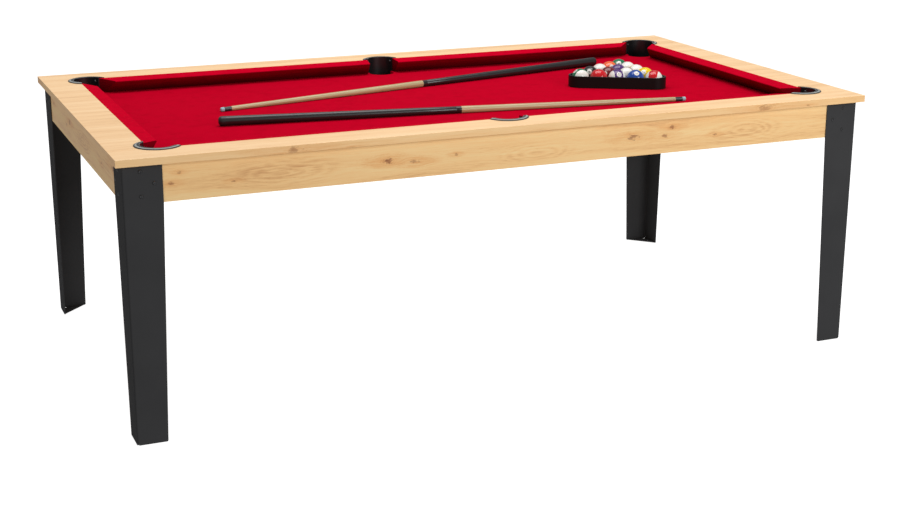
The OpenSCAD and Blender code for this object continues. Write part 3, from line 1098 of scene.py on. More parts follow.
# The cushion cloth's last number, 0.24, sets the painted shade on its faces under the nose.
CUSHION_RED = Baize("red_cushion_cloth", srgb(199, 0, 36), srgb(160, 0, 27), 0.45, 0.24)
FIBREBOARD = PlainWood("fibreboard", srgb(170, 128, 84), srgb(142, 104, 66), fine=700.0, rough=0.8)
PINE = PlainWood("raw_pine", srgb(222, 190, 138), srgb(190, 150, 98), rough=0.7)
RUBBER = Moulding("cushion_rubber", srgb(44, 40, 38), 0.7)
# Painted reflection: this grey finish on the rim's slope stands in for the light that the glossy black
# plastic reflects there.
RIM_PAINTED_SHEEN = Moulding("pocket_rim_trim", srgb(150, 154, 151), 0.28, 0.05)
POCKET_BLACK = Moulding("pocket_plastic", srgb(20, 20, 21), 0.30, 0.06)
RACK_BLACK = Moulding("rack_plastic", srgb(13, 15, 15), 0.38, 0.05, shine=0.16)


@dataclass
class TopFrame:
    """Four rail boards and four apron boards in knotty oak foil.

    Attributes:
        joints: Where the printed plank joints cross each end board, along y.
    """

    joints: tuple[float, ...] = (0.47, 0.345, 0.242, 0.12, -0.014, -0.118, -0.226, -0.33, -0.406, -0.53)

    def build(self, finishes: Finishes) -> None:
        """Dresses the eight boards.

        Args:
            finishes: Where each finish comes from.
        """
        top = (TOP_PALE, TOP_WARM, TOP_DEEP)
        side = (SIDE_PALE, SIDE_WARM, SIDE_DEEP)
        foils = {
            "top_rail_front": OakFoil("oak_top_front", *top, EDGE_KNOTS, 0.0),
            "top_rail_back": OakFoil("oak_top_back", *top, BACK_EDGE_KNOTS, 7.3),
            "top_rail_left": OakFoil("oak_top_left", *top, (), 3.1, self.joints),
            "top_rail_right": OakFoil("oak_top_right", *top, (), 11.7, self.joints),
            "apron_front": OakFoil("oak_apron_front", *side, FRONT_KNOTS, 1.0),
            "apron_back": OakFoil("oak_apron_back", *side, BACK_KNOTS, 5.9),
            "apron_left": OakFoil("oak_apron_left", *side, LEFT_KNOTS, 14.2),
            "apron_right": OakFoil("oak_apron_right", *side, RIGHT_KNOTS, 21.4),
        }
        for node, foil in foils.items():
            finishes.dress(frame["nodes"][node], foil)
            LOG.info("%s: dressed in %s", node, foil.name)


@dataclass
class Legs:
    """Four folded steel legs and their bolts.

    Attributes:
        edge: Rounding of the sheet's cut edges.
    """

    edge: float = 0.0006

    def build(self, finishes: Finishes) -> None:
        """Rounds the cut edges of the legs and dresses them and their bolts and nuts.

        Args:
            finishes: Where each finish comes from.
        """
        for corner in CORNERS:
            piece = Bench.softened_copy(f"leg_{corner}", f"folded_leg_{corner}", self.edge)
            finishes.dress(piece, COAT)
            finish_piece(piece, "table", "black_steel", f"leg_{corner}")
        finishes.dress(frame["nodes"]["leg_bolts"], SCREW_BLACK)
        finishes.dress(frame["nodes"]["leg_nuts"], ZINC)


@dataclass(frozen=True)
class Pocket:
    """Where one pocket is and how it opens.

    Attributes:
        name: Its place in words.
        x: Its centre along the table.
        y: Its centre across the table.
        radius: Inner radius of its moulding.
        inset: How far its centre is inside the rail board's edge.
        drop: Radius of the hole in the bed.
        corner: Whether it opens along both x and y.
    """

    name: str
    x: float
    y: float
    radius: float
    inset: float
    drop: float
    corner: bool

    @property
    def sides(self) -> tuple[float, float]:
        """Which way is outwards along x and along y."""
        return math.copysign(1.0, self.x), math.copysign(1.0, self.y)

    @property
    def fields(self) -> list[tuple[Vector, Vector]]:
        """Finds the lines that bound its open side.

        Returns:
            A point on each line, and the way outwards from it.
        """
        out_x, out_y = self.sides
        lines = [(Vector((self.x, self.y + out_y * self.inset, 0.0)), Vector((0.0, out_y, 0.0)))]
        if self.corner:
            lines.append((Vector((self.x + out_x * self.inset, self.y, 0.0)), Vector((out_x, 0.0, 0.0))))
        return lines


@dataclass
class Pockets:
    """Six black mouldings, each a cup with a wall and a rim that is open towards the field.

    Attributes:
        wall: Thickness of the moulding.
        rim_width: Width of the rim beyond the wall.
        rim_height: Thickness of the rim.
        slope: Width of the rim's sloping outer part.
        step: Height of its upright outer edge.
        ridge: How much of that slope, from outside, stays black.
        trim_from: How high above the board the painted grey sheen begins.
        trim_tilt: How level the faces given the painted sheen are, from a slope to nearly flat.
        cup_r: Radius inside the foot of the cup.
        foot_r: Radius outside it.
        slip: Gap between the wall and the board.
        under: Gap between the open side and the bed's underside.
        reach: How far the tool that opens a side goes.
        edge: Rounding of the edges.
        corner_r: Inner radius of a corner pocket.
        middle_r: Inner radius of a middle pocket.
        corner_inset: How far a corner pocket is inside the rail board's edge.
        middle_inset: The same for a middle pocket.
        hole: Radius of the hole in the bed.
    """

    wall: float = 0.003
    rim_width: float = 0.014
    rim_height: float = 0.0035
    slope: float = 0.0085
    step: float = 0.0016
    ridge: float = 0.42
    trim_from: float = 0.0012
    trim_tilt: tuple[float, float] = (0.90, 0.995)
    cup_r: float = 0.006
    foot_r: float = 0.004
    slip: float = 0.0005
    under: float = 0.0003
    reach: float = 0.2
    edge: float = 0.0007
    corner_r: float = 0.047
    middle_r: float = 0.046
    corner_inset: float = 0.030
    middle_inset: float = 0.015
    hole: float = 0.043
    all: list[Pocket] = field(default_factory=list)

    def __post_init__(self) -> None:
        """Finds each pocket's place from its frame piece."""
        for name in (*CORNERS, "middle_front", "middle_back"):
            corner = name in CORNERS
            radius = self.corner_r if corner else self.middle_r
            inset = self.corner_inset if corner else self.middle_inset
            far = radius + self.wall + self.rim_width
            low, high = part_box(f"pocket_{name}")
            x = (low.x + far if "left" in name else high.x - far) if corner else 0.0
            y = low.y + far if "front" in name else high.y - far
            self.all.append(Pocket(name, x, y, radius, inset, self.hole, corner))

    def section(self, pocket: Pocket, foot: float, board: float) -> list[Point]:
        """The moulding's outline in the xz plane, from its axis round and back to it.

        Args:
            pocket: The pocket.
            foot: Height of the cup's underside.
            board: Height of the rail board's upper face.

        Returns:
            The outline's corners.
        """
        r, out, top = pocket.radius, pocket.radius + self.wall, board + self.rim_height
        far, half = out + self.rim_width, self.rim_height / 2
        rise = self.step + (self.rim_height - self.step) * self.ridge
        ridge = (far - self.slope * self.ridge, board + rise)
        corner = [(far - 0.0008, board), (far, board + 0.0007), (far - 0.0005, board + self.step), ridge,
                  (far - self.slope, top)]
        cup, low, turns = self.cup_r, self.foot_r, quarter(4)
        lip = [(r + half - half * math.sin(a), top - half + half * math.cos(a)) for a in turns]
        bowl = [(r - cup + cup * math.cos(a), foot + self.wall + cup - cup * math.sin(a)) for a in turns]
        under = [(out - low + low * math.sin(a), foot + low - low * math.cos(a)) for a in turns]
        flat = [(0.0, foot), *under, (out, board), *corner, *lip, *bowl, (0.0, foot + self.wall)]
        return [(x, 0.0, z) for x, z in flat]

    def open_side(self, piece: bpy.types.Object, pocket: Pocket) -> None:
        """Cuts a moulding open towards the field, down to the bed's underside.

        Args:
            piece: The moulding.
            pocket: Its pocket.
        """
        out_x, out_y = pocket.sides
        near_x = pocket.x + (out_x * pocket.inset if pocket.corner else self.reach)
        near_y = pocket.y + out_y * pocket.inset
        ends_x = sorted((near_x, near_x - out_x * 2 * self.reach))
        ends_y = sorted((near_y, near_y - out_y * 2 * self.reach))
        under_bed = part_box("bed_panel")[0].z - self.under
        low, high = (ends_x[0], ends_y[0], under_bed), (ends_x[1], ends_y[1], TOOL_TOP)
        Bench.cut(piece, Bench.block("tool", low, high))

    def trim(self, piece: bpy.types.Object, pocket: Pocket, board: float) -> None:
        """Gives the rim's slope, inside its ridge, the second of the moulding's finishes.

        Args:
            piece: The moulding.
            pocket: Its pocket.
            board: Height of the rail board's upper face.
        """
        # Painted reflection: sloping rim faces inside the ridge get the grey finish.
        bright = pocket.radius + self.wall + self.rim_width - self.slope * self.ridge
        for face in piece.data.polygons:
            away = math.hypot(face.center.x - pocket.x, face.center.y - pocket.y)
            sloping = self.trim_tilt[0] < face.normal.z < self.trim_tilt[1]
            if face.center.z > board + self.trim_from and sloping and away < bright:
                face.material_index = 1

    def build(self, finishes: Finishes) -> None:
        """Spins, opens, rounds and dresses the six mouldings.

        Args:
            finishes: Where each finish comes from.
        """
        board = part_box("top_rail_front")[1].z
        for pocket in self.all:
            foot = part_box(f"pocket_{pocket.name}")[0].z
            section = self.section(pocket, foot, board)
            piece = Bench.spun(f"pocket_moulding_{pocket.name}", section, ROUND_STEPS)
            Bench.place(piece, Matrix.Translation((pocket.x, pocket.y, 0.0)))
            self.open_side(piece, pocket)
            Bench.soften(piece, self.edge, 2, 50.0)
            # The second finish is a painted grey sheen on the rim's slope.
            finishes.dress(piece, POCKET_BLACK, RIM_PAINTED_SHEEN)
            self.trim(piece, pocket, board)
            finish_piece(piece, "table", "pocket_plastic", f"pocket_{pocket.name}")


@dataclass
class BedCloth:
    """The sheet stretched over the bed, with its edges turned down into the pockets.

    Attributes:
        thick: Thickness of the cloth.
        turn: Radius of the turned edge.
        steps: How many faces the turn has.
        skirt: How far the edge goes down into each pocket.
        gap: How far the cloth's openings are wider than the bed's.
        near: How close to the opening a corner on its edge is.
        level: How upright the normal of a face of the flat sheet is.
    """

    thick: float = 0.0012
    turn: float = 0.0018
    steps: int = 5
    skirt: float = 0.010
    gap: float = 0.0004
    near: float = 0.0003
    level: float = 0.9

    def outside(self, pockets: Pockets, side: int) -> bpy.types.Object:
        """Draws a tool of the mouldings' shapes beyond one line of their open sides.

        Args:
            pockets: The pockets.
            side: Which of each pocket's lines it is.

        Returns:
            The tool.
        """
        tools = []
        for pocket in pockets.all:
            if side < len(pocket.fields):
                radius = pocket.radius + pockets.wall + pockets.slip
                tool = Bench.drum("tool", radius, (TOOL_FOOT, TOOL_HEAD), (pocket.x, pocket.y))
                Bench.edit(tool)
                at, out = pocket.fields[side]
                bpy.ops.mesh.bisect(plane_co=at, plane_no=-out, use_fill=True, clear_outer=True)
                Bench.done()
                tools.append(tool)
        return Bench.joined(tools)

    def build(self, finishes: Finishes, pockets: Pockets) -> None:
        """Cuts the sheet, turns its edges down and gives it its thickness.

        Args:
            finishes: Where each finish comes from.
            pockets: The pockets that it is cut round.
        """
        low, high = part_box("bed_cloth")
        sheet = Bench.block("bed_cloth_sheet", low, high)
        heights = (TOOL_FOOT, TOOL_HEAD)
        drums = [Bench.drum("tool", hole.drop + self.gap, heights, (hole.x, hole.y)) for hole in pockets.all]
        Bench.cut(sheet, Bench.joined(drums))
        for side in (0, 1):
            Bench.cut(sheet, self.outside(pockets, side))
        Bench.edit(sheet)
        Bench.pick(sheet, Part.FACE, lambda face: face.normal.z < self.level)
        bpy.ops.mesh.delete(type="FACE")
        Bench.done()
        for pocket in pockets.all:
            self.turn_down(sheet, pocket)
        Bench.modify(sheet, "SOLIDIFY", thickness=self.thick, offset=-1.0)
        Bench.smooth(sheet, 50.0)
        finishes.dress(sheet, CLOTH_RED)
        finish_piece(sheet, "table", "bed_cloth", "bed_cloth")

    def turn_down(self, sheet: bpy.types.Object, pocket: Pocket) -> None:
        """Turns the sheet's round edge down into one pocket.

        Args:
            sheet: The sheet, still without thickness.
            pocket: The pocket.
        """
        middle = Vector((pocket.x, pocket.y, 0.0))
        edge = pocket.drop + self.gap

        def on_edge(part: bmesh.types.BMEdge) -> bool:
            """Whether an edge is on the round hole's rim."""
            ends = [(corner.co - middle) for corner in part.verts]
            return part.is_boundary and all(abs(math.hypot(end.x, end.y) - edge) < self.near for end in ends)

        Bench.edit(sheet, False)
        Bench.pick(sheet, Part.EDGE, on_edge)
        turns = quarter(self.steps)[1:]
        path = [(self.turn * math.sin(angle), self.turn * (1 - math.cos(angle))) for angle in turns]
        before = (0.0, 0.0)
        for here in (*path, (self.turn, self.skirt)):
            bpy.ops.mesh.extrude_edges_move(
                TRANSFORM_OT_translate={"value": (0.0, 0.0, before[1] - here[1])})
            ratio = (edge - here[0]) / (edge - before[0])
            bpy.ops.transform.resize(value=(ratio, ratio, 1.0), center_override=tuple(middle))
            before = here
        Bench.done()


@dataclass
class Cushions:
    """Six cloth-covered cushions with a rounded nose and an undercut face.

    Attributes:
        width: From the rail board to the nose.
        drop: From the rail board's upper face down to the bed.
        nose: Height of the nose above the bed.
        nose_r: Radius of the nose.
        under: How far the face under the nose leans back, in degrees.
        corner_lean: How far a corner facing leans along the rail for each unit across.
        middle_lean: The same for a middle facing.
        corner_reach: Where a cushion starts, measured from the rails' inner corner.
        middle_reach: Where it starts, measured from the table's middle.
        soft: Rounding of the cloth over the ends.
        lift: Gap under the cushion.
        spare: How much longer the bar is before its ends are cut.
        upper_round: How much of the nose's radius rounds its upper edge.
        lower_round: The same for its lower edge.
        inner_x: From the table's middle to the inner edge of an end rail.
        inner_y: From the table's middle to the inner edge of a long rail.
    """

    width: float = 0.045
    drop: float = 0.045
    nose: float = 0.0365
    nose_r: float = 0.0035
    under: float = 41.0
    corner_lean: float = math.tan(math.radians(52.0))
    middle_lean: float = math.tan(math.radians(7.0))
    corner_reach: float = 0.0690
    middle_reach: float = 0.0464
    soft: float = 0.0014
    lift: float = 0.0005
    spare: float = 0.01
    upper_round: float = 0.86
    lower_round: float = 0.36
    inner_x: float = 1.035
    inner_y: float = 0.540

    def slice(self, at: Sequence[float], out: Sequence[float]) -> None:
        """Cuts off all of the open piece beyond a plane and closes it."""
        bpy.ops.mesh.select_all(action="SELECT")
        bpy.ops.mesh.bisect(plane_co=at, plane_no=out, use_fill=True, clear_outer=True)

    def round_nose(self, piece: bpy.types.Object, height: float, width: float) -> None:
        """Rounds the long edge at the nose nearest to a height.

        Args:
            piece: The open bar.
            height: The height.
            width: Width of the rounding.
        """
        def at_nose(edge: bmesh.types.BMEdge) -> bool:
            """Whether an edge runs along the nose at that height."""
            ends = [end.co for end in edge.verts]
            return all(abs(end.y - self.width) < 0.0001 and abs(end.z - height) < 0.0012 for end in ends)

        Bench.pick(piece, Part.EDGE, at_nose)
        bpy.ops.mesh.bevel(offset=width, segments=4, affect="EDGES", clamp_overlap=True)

    def bar(self, name: str, start: float, end: float, lean_start: float, lean_end: float
            ) -> bpy.types.Object:
        """One cushion beside a rail along x, with the field towards +y and the bed at z = 0.

        Args:
            name: Its name.
            start: Its lower end along the rail.
            end: Its upper end.
            lean_start: Lean of the facing at its lower end.
            lean_end: Lean of the facing at its upper end.

        Returns:
            The cushion, not yet in its place.
        """
        first, last = start - self.spare, end + self.spare
        piece = Bench.block(name, (first, 0.0, self.lift), (last, self.width, self.drop))
        core = self.width - self.nose_r
        fall = (self.drop - self.nose - self.nose_r) / core
        lean = math.radians(self.under)
        low = (core + self.nose_r * math.cos(lean), self.nose - self.nose_r * math.sin(lean))
        Bench.edit(piece)
        self.slice((0.0, 0.0, self.drop), (0.0, fall, 1.0))
        self.slice((0.0, low[0], low[1]), (0.0, math.cos(lean), -math.sin(lean)))
        upper = self.drop - fall * self.width
        lower = low[1] + (self.width - low[0]) / math.tan(lean)
        self.round_nose(piece, upper, self.nose_r * self.upper_round)
        self.round_nose(piece, lower, self.nose_r * self.lower_round)
        self.slice((start, 0.0, 0.0), (-1.0, lean_start, 0.0))
        self.slice((end, 0.0, 0.0), (1.0, lean_end, 0.0))
        Bench.done()
        return Bench.soften(Bench.seal(piece), self.soft, 3, 38.0)

    def build(self, finishes: Finishes) -> None:
        """Builds, places and dresses the six cushions.

        Args:
            finishes: Where each finish comes from.
        """
        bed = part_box("bed_cloth")[1].z
        far_x, far_y = self.inner_x - self.corner_reach, self.inner_y - self.corner_reach
        corner, middle = self.corner_lean, self.middle_lean
        plans = {
            "front_left": (0.0, self.inner_y, -far_x, -self.middle_reach, corner, middle),
            "front_right": (0.0, self.inner_y, self.middle_reach, far_x, middle, corner),
            "back_left": (180.0, self.inner_y, self.middle_reach, far_x, middle, corner),
            "back_right": (180.0, self.inner_y, -far_x, -self.middle_reach, corner, middle),
            "left": (-90.0, self.inner_x, -far_y, far_y, corner, corner),
            "right": (90.0, self.inner_x, -far_y, far_y, corner, corner),
        }
        for name, (turn, edge, start, end, lean_start, lean_end) in plans.items():
            piece = self.bar(f"cushion_{name}", start, end, lean_start, lean_end)
            turned = Matrix.Rotation(math.radians(turn), 4, "Z")
            Bench.place(piece, turned @ Matrix.Translation((0.0, -edge, bed)))
            finishes.dress(piece, CUSHION_RED)
            finish_piece(piece, "table", "cushion_cloth", f"cushion_cloth_{name}")


@dataclass
class Rack:
    """The black triangle round the balls.

    Attributes:
        inner: From a corner ball's centre to the wall.
        wall: Thickness of the wall.
        height: Height of the wall.
        pitch: Distance between neighbouring balls' centres.
        turn: How far it is turned on the bed, in degrees.
        edge: Rounding of its edges.
        steps: How many faces each round corner has.
    """

    inner: float = 0.0331
    wall: float = 0.0065
    height: float = 0.038
    pitch: float = 0.0602
    turn: float = -29.8
    edge: float = 0.0014
    steps: int = 12

    def ring(self, reach: float) -> list[Point]:
        """Draws a triangle with round corners.

        Args:
            reach: How far it runs round the three corner balls' centres.

        Returns:
            Its corners.
        """
        half, top = 2 * self.pitch, 2 * self.pitch * math.sqrt(3.0)
        points = []
        for (x, y), first in (((-half, 0.0), 150.0), ((half, 0.0), 270.0), ((0.0, top), 30.0)):
            for step in range(self.steps + 1):
                angle = math.radians(first + 120.0 / self.steps * step)
                points.append((x + reach * math.cos(angle), y + reach * math.sin(angle), 0.0))
        return points

    def build(self, finishes: Finishes) -> None:
        """Draws the two outlines, bridges them, raises the wall and rounds it.

        Args:
            finishes: Where each finish comes from.
        """
        outer = Bench.outline("rack_triangle", self.ring(self.inner + self.wall))
        inner = Bench.outline("rack_inside", self.ring(self.inner))
        piece = Bench.joined([outer, inner])
        Bench.edit(piece)
        bpy.ops.mesh.bridge_edge_loops()
        bpy.ops.mesh.select_all(action="SELECT")
        bpy.ops.mesh.extrude_region_move(TRANSFORM_OT_translate={"value": (0.0, 0.0, self.height)})
        Bench.done()
        Bench.seal(piece)
        Bench.soften(piece, self.edge, 3, 50.0)
        Bench.place(piece, Matrix.Rotation(math.radians(self.turn), 4, "Z"))
        corners = [corner.co for corner in piece.data.vertices]
        here = Vector([min(corner[axis] for corner in corners) for axis in range(3)])
        Bench.place(piece, Matrix.Translation(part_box("triangle_rack")[0] - here))
        finishes.dress(piece, RACK_BLACK)
        finish_piece(piece, "triangle", "rack_plastic", "triangle_rack")


@dataclass(frozen=True)
class BallLook:
    """How one ball is painted and turned. Directions are right, up and towards the front of the table.

    Attributes:
        number: The ball's number.
        paint: Its colour.
        slot: The material slot of its colour.
        label: Where one of its two numbers faces.
        pole: Where the end of its stripe's axis faces.
    """

    number: int
    paint: Resin
    slot: str
    label: Point
    pole: Point

    @property
    def striped(self) -> bool:
        """Whether the ball is white with a coloured stripe."""
        return self.number > 8


WHITE = Resin("ball_white", srgb(243, 240, 232))
INK = Resin("ball_ink", srgb(24, 24, 26))
YELLOW, BLUE = Resin("ball_yellow", srgb(244, 208, 12)), Resin("ball_blue", srgb(20, 70, 160))
RED, PURPLE = Resin("ball_red", srgb(205, 14, 26)), Resin("ball_purple", srgb(82, 42, 116))
ORANGE, GREEN = Resin("ball_orange", srgb(244, 104, 44)), Resin("ball_green", srgb(0, 116, 74))
MAROON, BLACK = Resin("ball_maroon", srgb(112, 26, 34)), Resin("ball_black", srgb(16, 15, 16))
BALLS = (
    BallLook(1, YELLOW, "ball_yellow", (0.2, -0.6, -0.8), (1.0, 0.0, 0.0)),
    BallLook(2, BLUE, "ball_blue", (0.12, 0.74, 0.66), (1.0, 0.0, 0.0)),
    BallLook(3, RED, "ball_red", (0.2, -0.9, 0.4), (1.0, 0.0, 0.0)),
    BallLook(4, PURPLE, "ball_purple", (0.3, 0.2, -0.9), (1.0, 0.0, 0.0)),
    BallLook(5, ORANGE, "ball_orange", (-0.3, -0.5, -0.8), (1.0, 0.0, 0.0)),
    BallLook(6, GREEN, "ball_green", (0.0, 0.62, 0.78), (1.0, 0.0, 0.0)),
    BallLook(7, MAROON, "ball_maroon", (0.4, -0.3, -0.85), (1.0, 0.0, 0.0)),
    BallLook(8, BLACK, "ball_black", (0.1, -0.5, -0.85), (1.0, 0.0, 0.0)),
    BallLook(9, YELLOW, "ball_striped", (-0.2, -0.9, 0.3), (0.25, 0.62, 0.74)),
    BallLook(10, BLUE, "ball_striped", (0.9, 0.0, -0.4), (0.1, 0.6, 0.8)),
    BallLook(11, RED, "ball_striped", (0.1, 0.8, -0.6), (0.98, 0.0, 0.2)),
    BallLook(12, PURPLE, "ball_striped", (0.28, 0.58, 0.76), (0.95, 0.0, -0.30)),
    BallLook(13, ORANGE, "ball_striped", (0.4, -0.8, 0.2), (-0.1, 0.6, 0.8)),
    BallLook(14, GREEN, "ball_striped", (-0.7, 0.6, -0.3), (0.36, 0.1, 0.93)),
    BallLook(15, MAROON, "ball_striped", (-0.6, -0.7, 0.2), (-0.1, 0.35, 0.93)),
)


@dataclass
class Balls:
    """Fifteen numbered balls.

    Attributes:
        radius: A ball's radius.
        stripe: Half the stripe's width, as a share of the radius.
        label: A label's radius, as a share of the ball's.
        lift: How far the ink stands on the ball.
        yaw: How far the front of the looks' directions is turned about z, in degrees.
        digit: Size of a number with one digit, as a share of the radius.
        digits: Size of a number with two.
    """

    radius: float = 0.0286
    stripe: float = 0.50
    label: float = 0.30
    lift: float = 0.00006
    yaw: float = -28.5
    digit: float = 0.46
    digits: float = 0.40

    def frame_of(self, look: BallLook) -> tuple[Vector, Vector]:
        """Finds where a ball's label and stripe face.

        Args:
            look: The ball's look.

        Returns:
            The label's and the pole's directions, at right angles.
        """
        turn = Matrix.Rotation(math.radians(self.yaw), 3, "Z")

        def world(way: Point) -> Vector:
            """The direction that right, up and front stand for."""
            return (turn @ Vector((way[0], -way[2], way[1]))).normalized()

        pole = world(look.pole)
        label = world(look.label)
        if look.striped:
            label = (label - pole * label.dot(pole)).normalized()
        else:
            pole = label.orthogonal().normalized()
        return label, pole

    def shell(self, look: BallLook, label: Vector, pole: Vector) -> bpy.types.Object:
        """Shapes a round ball that is cut along its painted edges.

        Args:
            look: The ball's look.
            label: Where its label faces.
            pole: Where its stripe's axis points.

        Returns:
            The ball, with a slot for white and one for its colour.
        """
        Bench.clear()
        bpy.ops.mesh.primitive_uv_sphere_add(segments=64, ring_count=32, radius=self.radius)
        piece = Bench.named(f"pool_ball_{look.number}")
        Bench.edit(piece)
        rim = math.sqrt(1 - self.label ** 2)
        planes = [(label, self.radius * rim), (-label, self.radius * rim)]
        if look.striped:
            planes += [(pole, self.radius * self.stripe), (pole, -self.radius * self.stripe)]
        for way, reach in planes:
            bpy.ops.mesh.select_all(action="SELECT")
            bpy.ops.mesh.bisect(plane_co=way * reach, plane_no=way)
        Bench.done()
        for corner in piece.data.vertices:
            corner.co = corner.co.normalized() * self.radius
        for face in piece.data.polygons:
            middle = face.center.normalized()
            at_label = abs(middle.dot(label)) > rim
            banded = not look.striped or abs(middle.dot(pole)) < self.stripe
            face.material_index = 0 if at_label or not banded else 1
            face.use_smooth = True
        return piece

    def number(self, look: BallLook, out: Vector, up: Vector) -> bpy.types.Object:
        """Writes a ball's number and bends it over the ball.

        Args:
            look: The ball's look.
            out: Where the label faces.
            up: The way up of the number.

        Returns:
            The number.
        """
        Bench.clear()
        bpy.ops.object.text_add()
        text = bpy.context.active_object
        text.data.body = str(look.number)
        text.data.align_x = "CENTER"
        text.data.align_y = "CENTER"
        text.data.size = self.radius * (self.digits if look.number > 9 else self.digit)
        text.data.resolution_u = 4
        bpy.ops.object.convert(target="MESH")
        glyph = Bench.named(f"ball_{look.number}_number")
        Bench.edit(glyph)
        bpy.ops.mesh.quads_convert_to_tris()
        bpy.ops.mesh.subdivide(number_cuts=1)
        Bench.done()
        middle = sum((corner.co for corner in glyph.data.vertices), Vector()) / len(glyph.data.vertices)
        right = up.cross(out).normalized()
        for corner in glyph.data.vertices:
            flat = corner.co - middle
            way = (out * self.radius + right * flat.x + up * flat.y).normalized()
            corner.co = way * (self.radius + self.lift)
        for face in glyph.data.polygons:
            face.use_smooth = True
        return glyph

    def build(self, finishes: Finishes) -> None:
        """Builds, numbers, places and dresses the balls.

        Args:
            finishes: Where each finish comes from.
        """
        for look in BALLS:
            label, pole = self.frame_of(look)
            piece = self.shell(look, label, pole)
            glyphs = [self.number(look, way, pole.cross(way)) for way in (label, -label)]
            finishes.dress(piece, WHITE, look.paint, INK)
            for glyph in glyphs:
                finishes.dress(glyph, INK)
            Bench.joined([piece, *glyphs])
            low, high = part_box(f"ball_{look.number}")
            Bench.place(piece, Matrix.Translation((low + high) / 2))
            finish_piece(piece, f"loose_ball_{look.number}", look.slot, f"ball_{look.number}")


@dataclass
class Cue:
    """One cue that lies on the bed: bumper, butt, shaft, ferrule and tip.

    Attributes:
        number: Which cue it is.
        x: Where its butt end lies.
        y: Where its butt end lies.
        turn: Which way it points, in degrees.
        length: Its length.
        butt_r: Its radius at the butt end.
        tip_r: Its radius at the tip.
        bumper: Length of its bumper.
        ferrule: From its end to where the ferrule begins.
        tip: Length of its tip.
        cap: Length of the bumper's round end.
        dome: Length of the tip's round end.
        hair: Width of the fine step where two pieces meet.
        gap: Gap between the butt and the cloth.
        steps: How many faces it has around.
    """

    number: int
    x: float
    y: float
    turn: float
    length: float = 1.470
    butt_r: float = 0.0145
    tip_r: float = 0.0065
    bumper: float = 0.0200
    ferrule: float = 0.036
    tip: float = 0.012
    cap: float = 0.010
    dome: float = 0.005
    hair: float = 0.0002
    gap: float = 0.0003
    steps: int = 48

    def radius(self, along: float) -> float:
        """Its radius at a distance from the butt end."""
        return self.butt_r + (self.tip_r - self.butt_r) * along / self.length

    def turned(self, name: str, rings: Sequence[tuple[float, float]]) -> bpy.types.Object:
        """A piece turned on a lathe.

        Args:
            name: Its name.
            rings: Its outline from end to end, each a distance from the butt end and a radius.

        Returns:
            The piece, along z.
        """
        points = [(0.0, 0.0, rings[0][0])]
        points += [(radius, 0.0, along) for along, radius in rings]
        points += [(0.0, 0.0, rings[-1][0])]
        piece = Bench.spun(name, points, self.steps)
        return Bench.smooth(piece, 32.0)

    def place(self) -> Matrix:
        """Finds how a piece along z is carried to where the cue lies.

        Returns:
            The move.
        """
        tilt = math.atan((self.butt_r - self.tip_r) / self.length)
        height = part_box("bed_cloth")[1].z + self.gap + self.butt_r * math.cos(tilt)
        turned = Matrix.Rotation(math.radians(self.turn), 4, "Z") @ Matrix.Rotation(tilt, 4, "Y")
        lying = turned @ Matrix.Rotation(math.pi / 2, 4, "Y")
        return Matrix.Translation((self.x, self.y, height)) @ lying

    def pieces(self) -> dict[str, list[tuple[float, float]]]:
        """Draws the outline of each piece.

        Returns:
            Each piece's name and its outline, from the butt end on.
        """
        r, hair, bumper, joint = self.radius, self.hair, self.bumper, self.length / 2
        ferrule, tip = self.length - self.ferrule, self.length - self.tip
        dome = [(self.length - self.dome * (1 - math.cos(a)), r(tip) * (0.45 + 0.55 * math.sin(a)))
                for a in reversed(quarter(6))]
        cap = [(self.cap * (1 - math.cos(a)), r(self.cap) * (0.32 + 0.68 * math.sin(a))) for a in quarter(6)]
        ring = [(joint - back, r(joint) - deep)
                for back, deep in ((0.0165, 0.0), (0.016, 0.00025), (0.0152, 0.00025), (0.0147, 0.0))]
        return {
            "bumper": [*cap, (bumper - hair, r(bumper)), (bumper, r(bumper) - hair)],
            "butt": [(bumper, r(bumper) - hair), (bumper + hair, r(bumper)),
                     *((along, r(along)) for along in (0.09, 0.36, 0.62)), *ring,
                     (joint - 2 * hair, r(joint)), (joint, r(joint) - 1.5 * hair)],
            "shaft": [(joint, r(joint) - 1.5 * hair), (joint + 2 * hair, r(joint)),
                      *((along, r(along)) for along in (0.9, 1.1, 1.3)),
                      (ferrule - hair, r(ferrule)), (ferrule, r(ferrule) - hair)],
            "ferrule": [(ferrule, r(ferrule) - hair), (ferrule + hair, r(ferrule)),
                        (tip - hair, r(tip)), (tip, r(tip) - hair)],
            "tip": [(tip, r(tip) - hair / 2), (tip + 1.5 * hair, r(tip)), *dome],
        }

    def build(self, finishes: Finishes) -> None:
        """Turns, places and dresses the five pieces.

        Args:
            finishes: Where each finish comes from.
        """
        way = (math.cos(math.radians(self.turn)), math.sin(math.radians(self.turn)), 0.0)
        looks = {
            "bumper": (Moulding("cue_bumper_rubber", srgb(22, 22, 23), 0.42, 0.03, 0.00001), "cue_bumper"),
            "butt": (Moulding("cue_black_paint", srgb(22, 22, 23), 0.34, 0.02, 0.0, 0.1), "cue_black"),
            "shaft": (PlainWood(f"cue_{self.number}_ash", srgb(194, 180, 134), srgb(160, 144, 98), way,
                                420.0, 0.36, 0.25), "cue_ash"),
            "ferrule": (Moulding("cue_ferrule_plastic", srgb(26, 40, 42), 0.3), "cue_ferrule"),
            "tip": (Moulding("cue_tip_leather", srgb(146, 176, 184), 0.8, 0.05, 0.0001), "cue_tip"),
        }
        place = self.place()
        for piece_name, rings in self.pieces().items():
            finish, slot = looks[piece_name]
            piece = self.turned(f"cue_{self.number}_{piece_name}_turned", rings)
            Bench.place(piece, place)
            finishes.dress(piece, finish)
            finish_piece(piece, f"cue_{self.number}", slot, f"cue_{self.number}_{piece_name}")


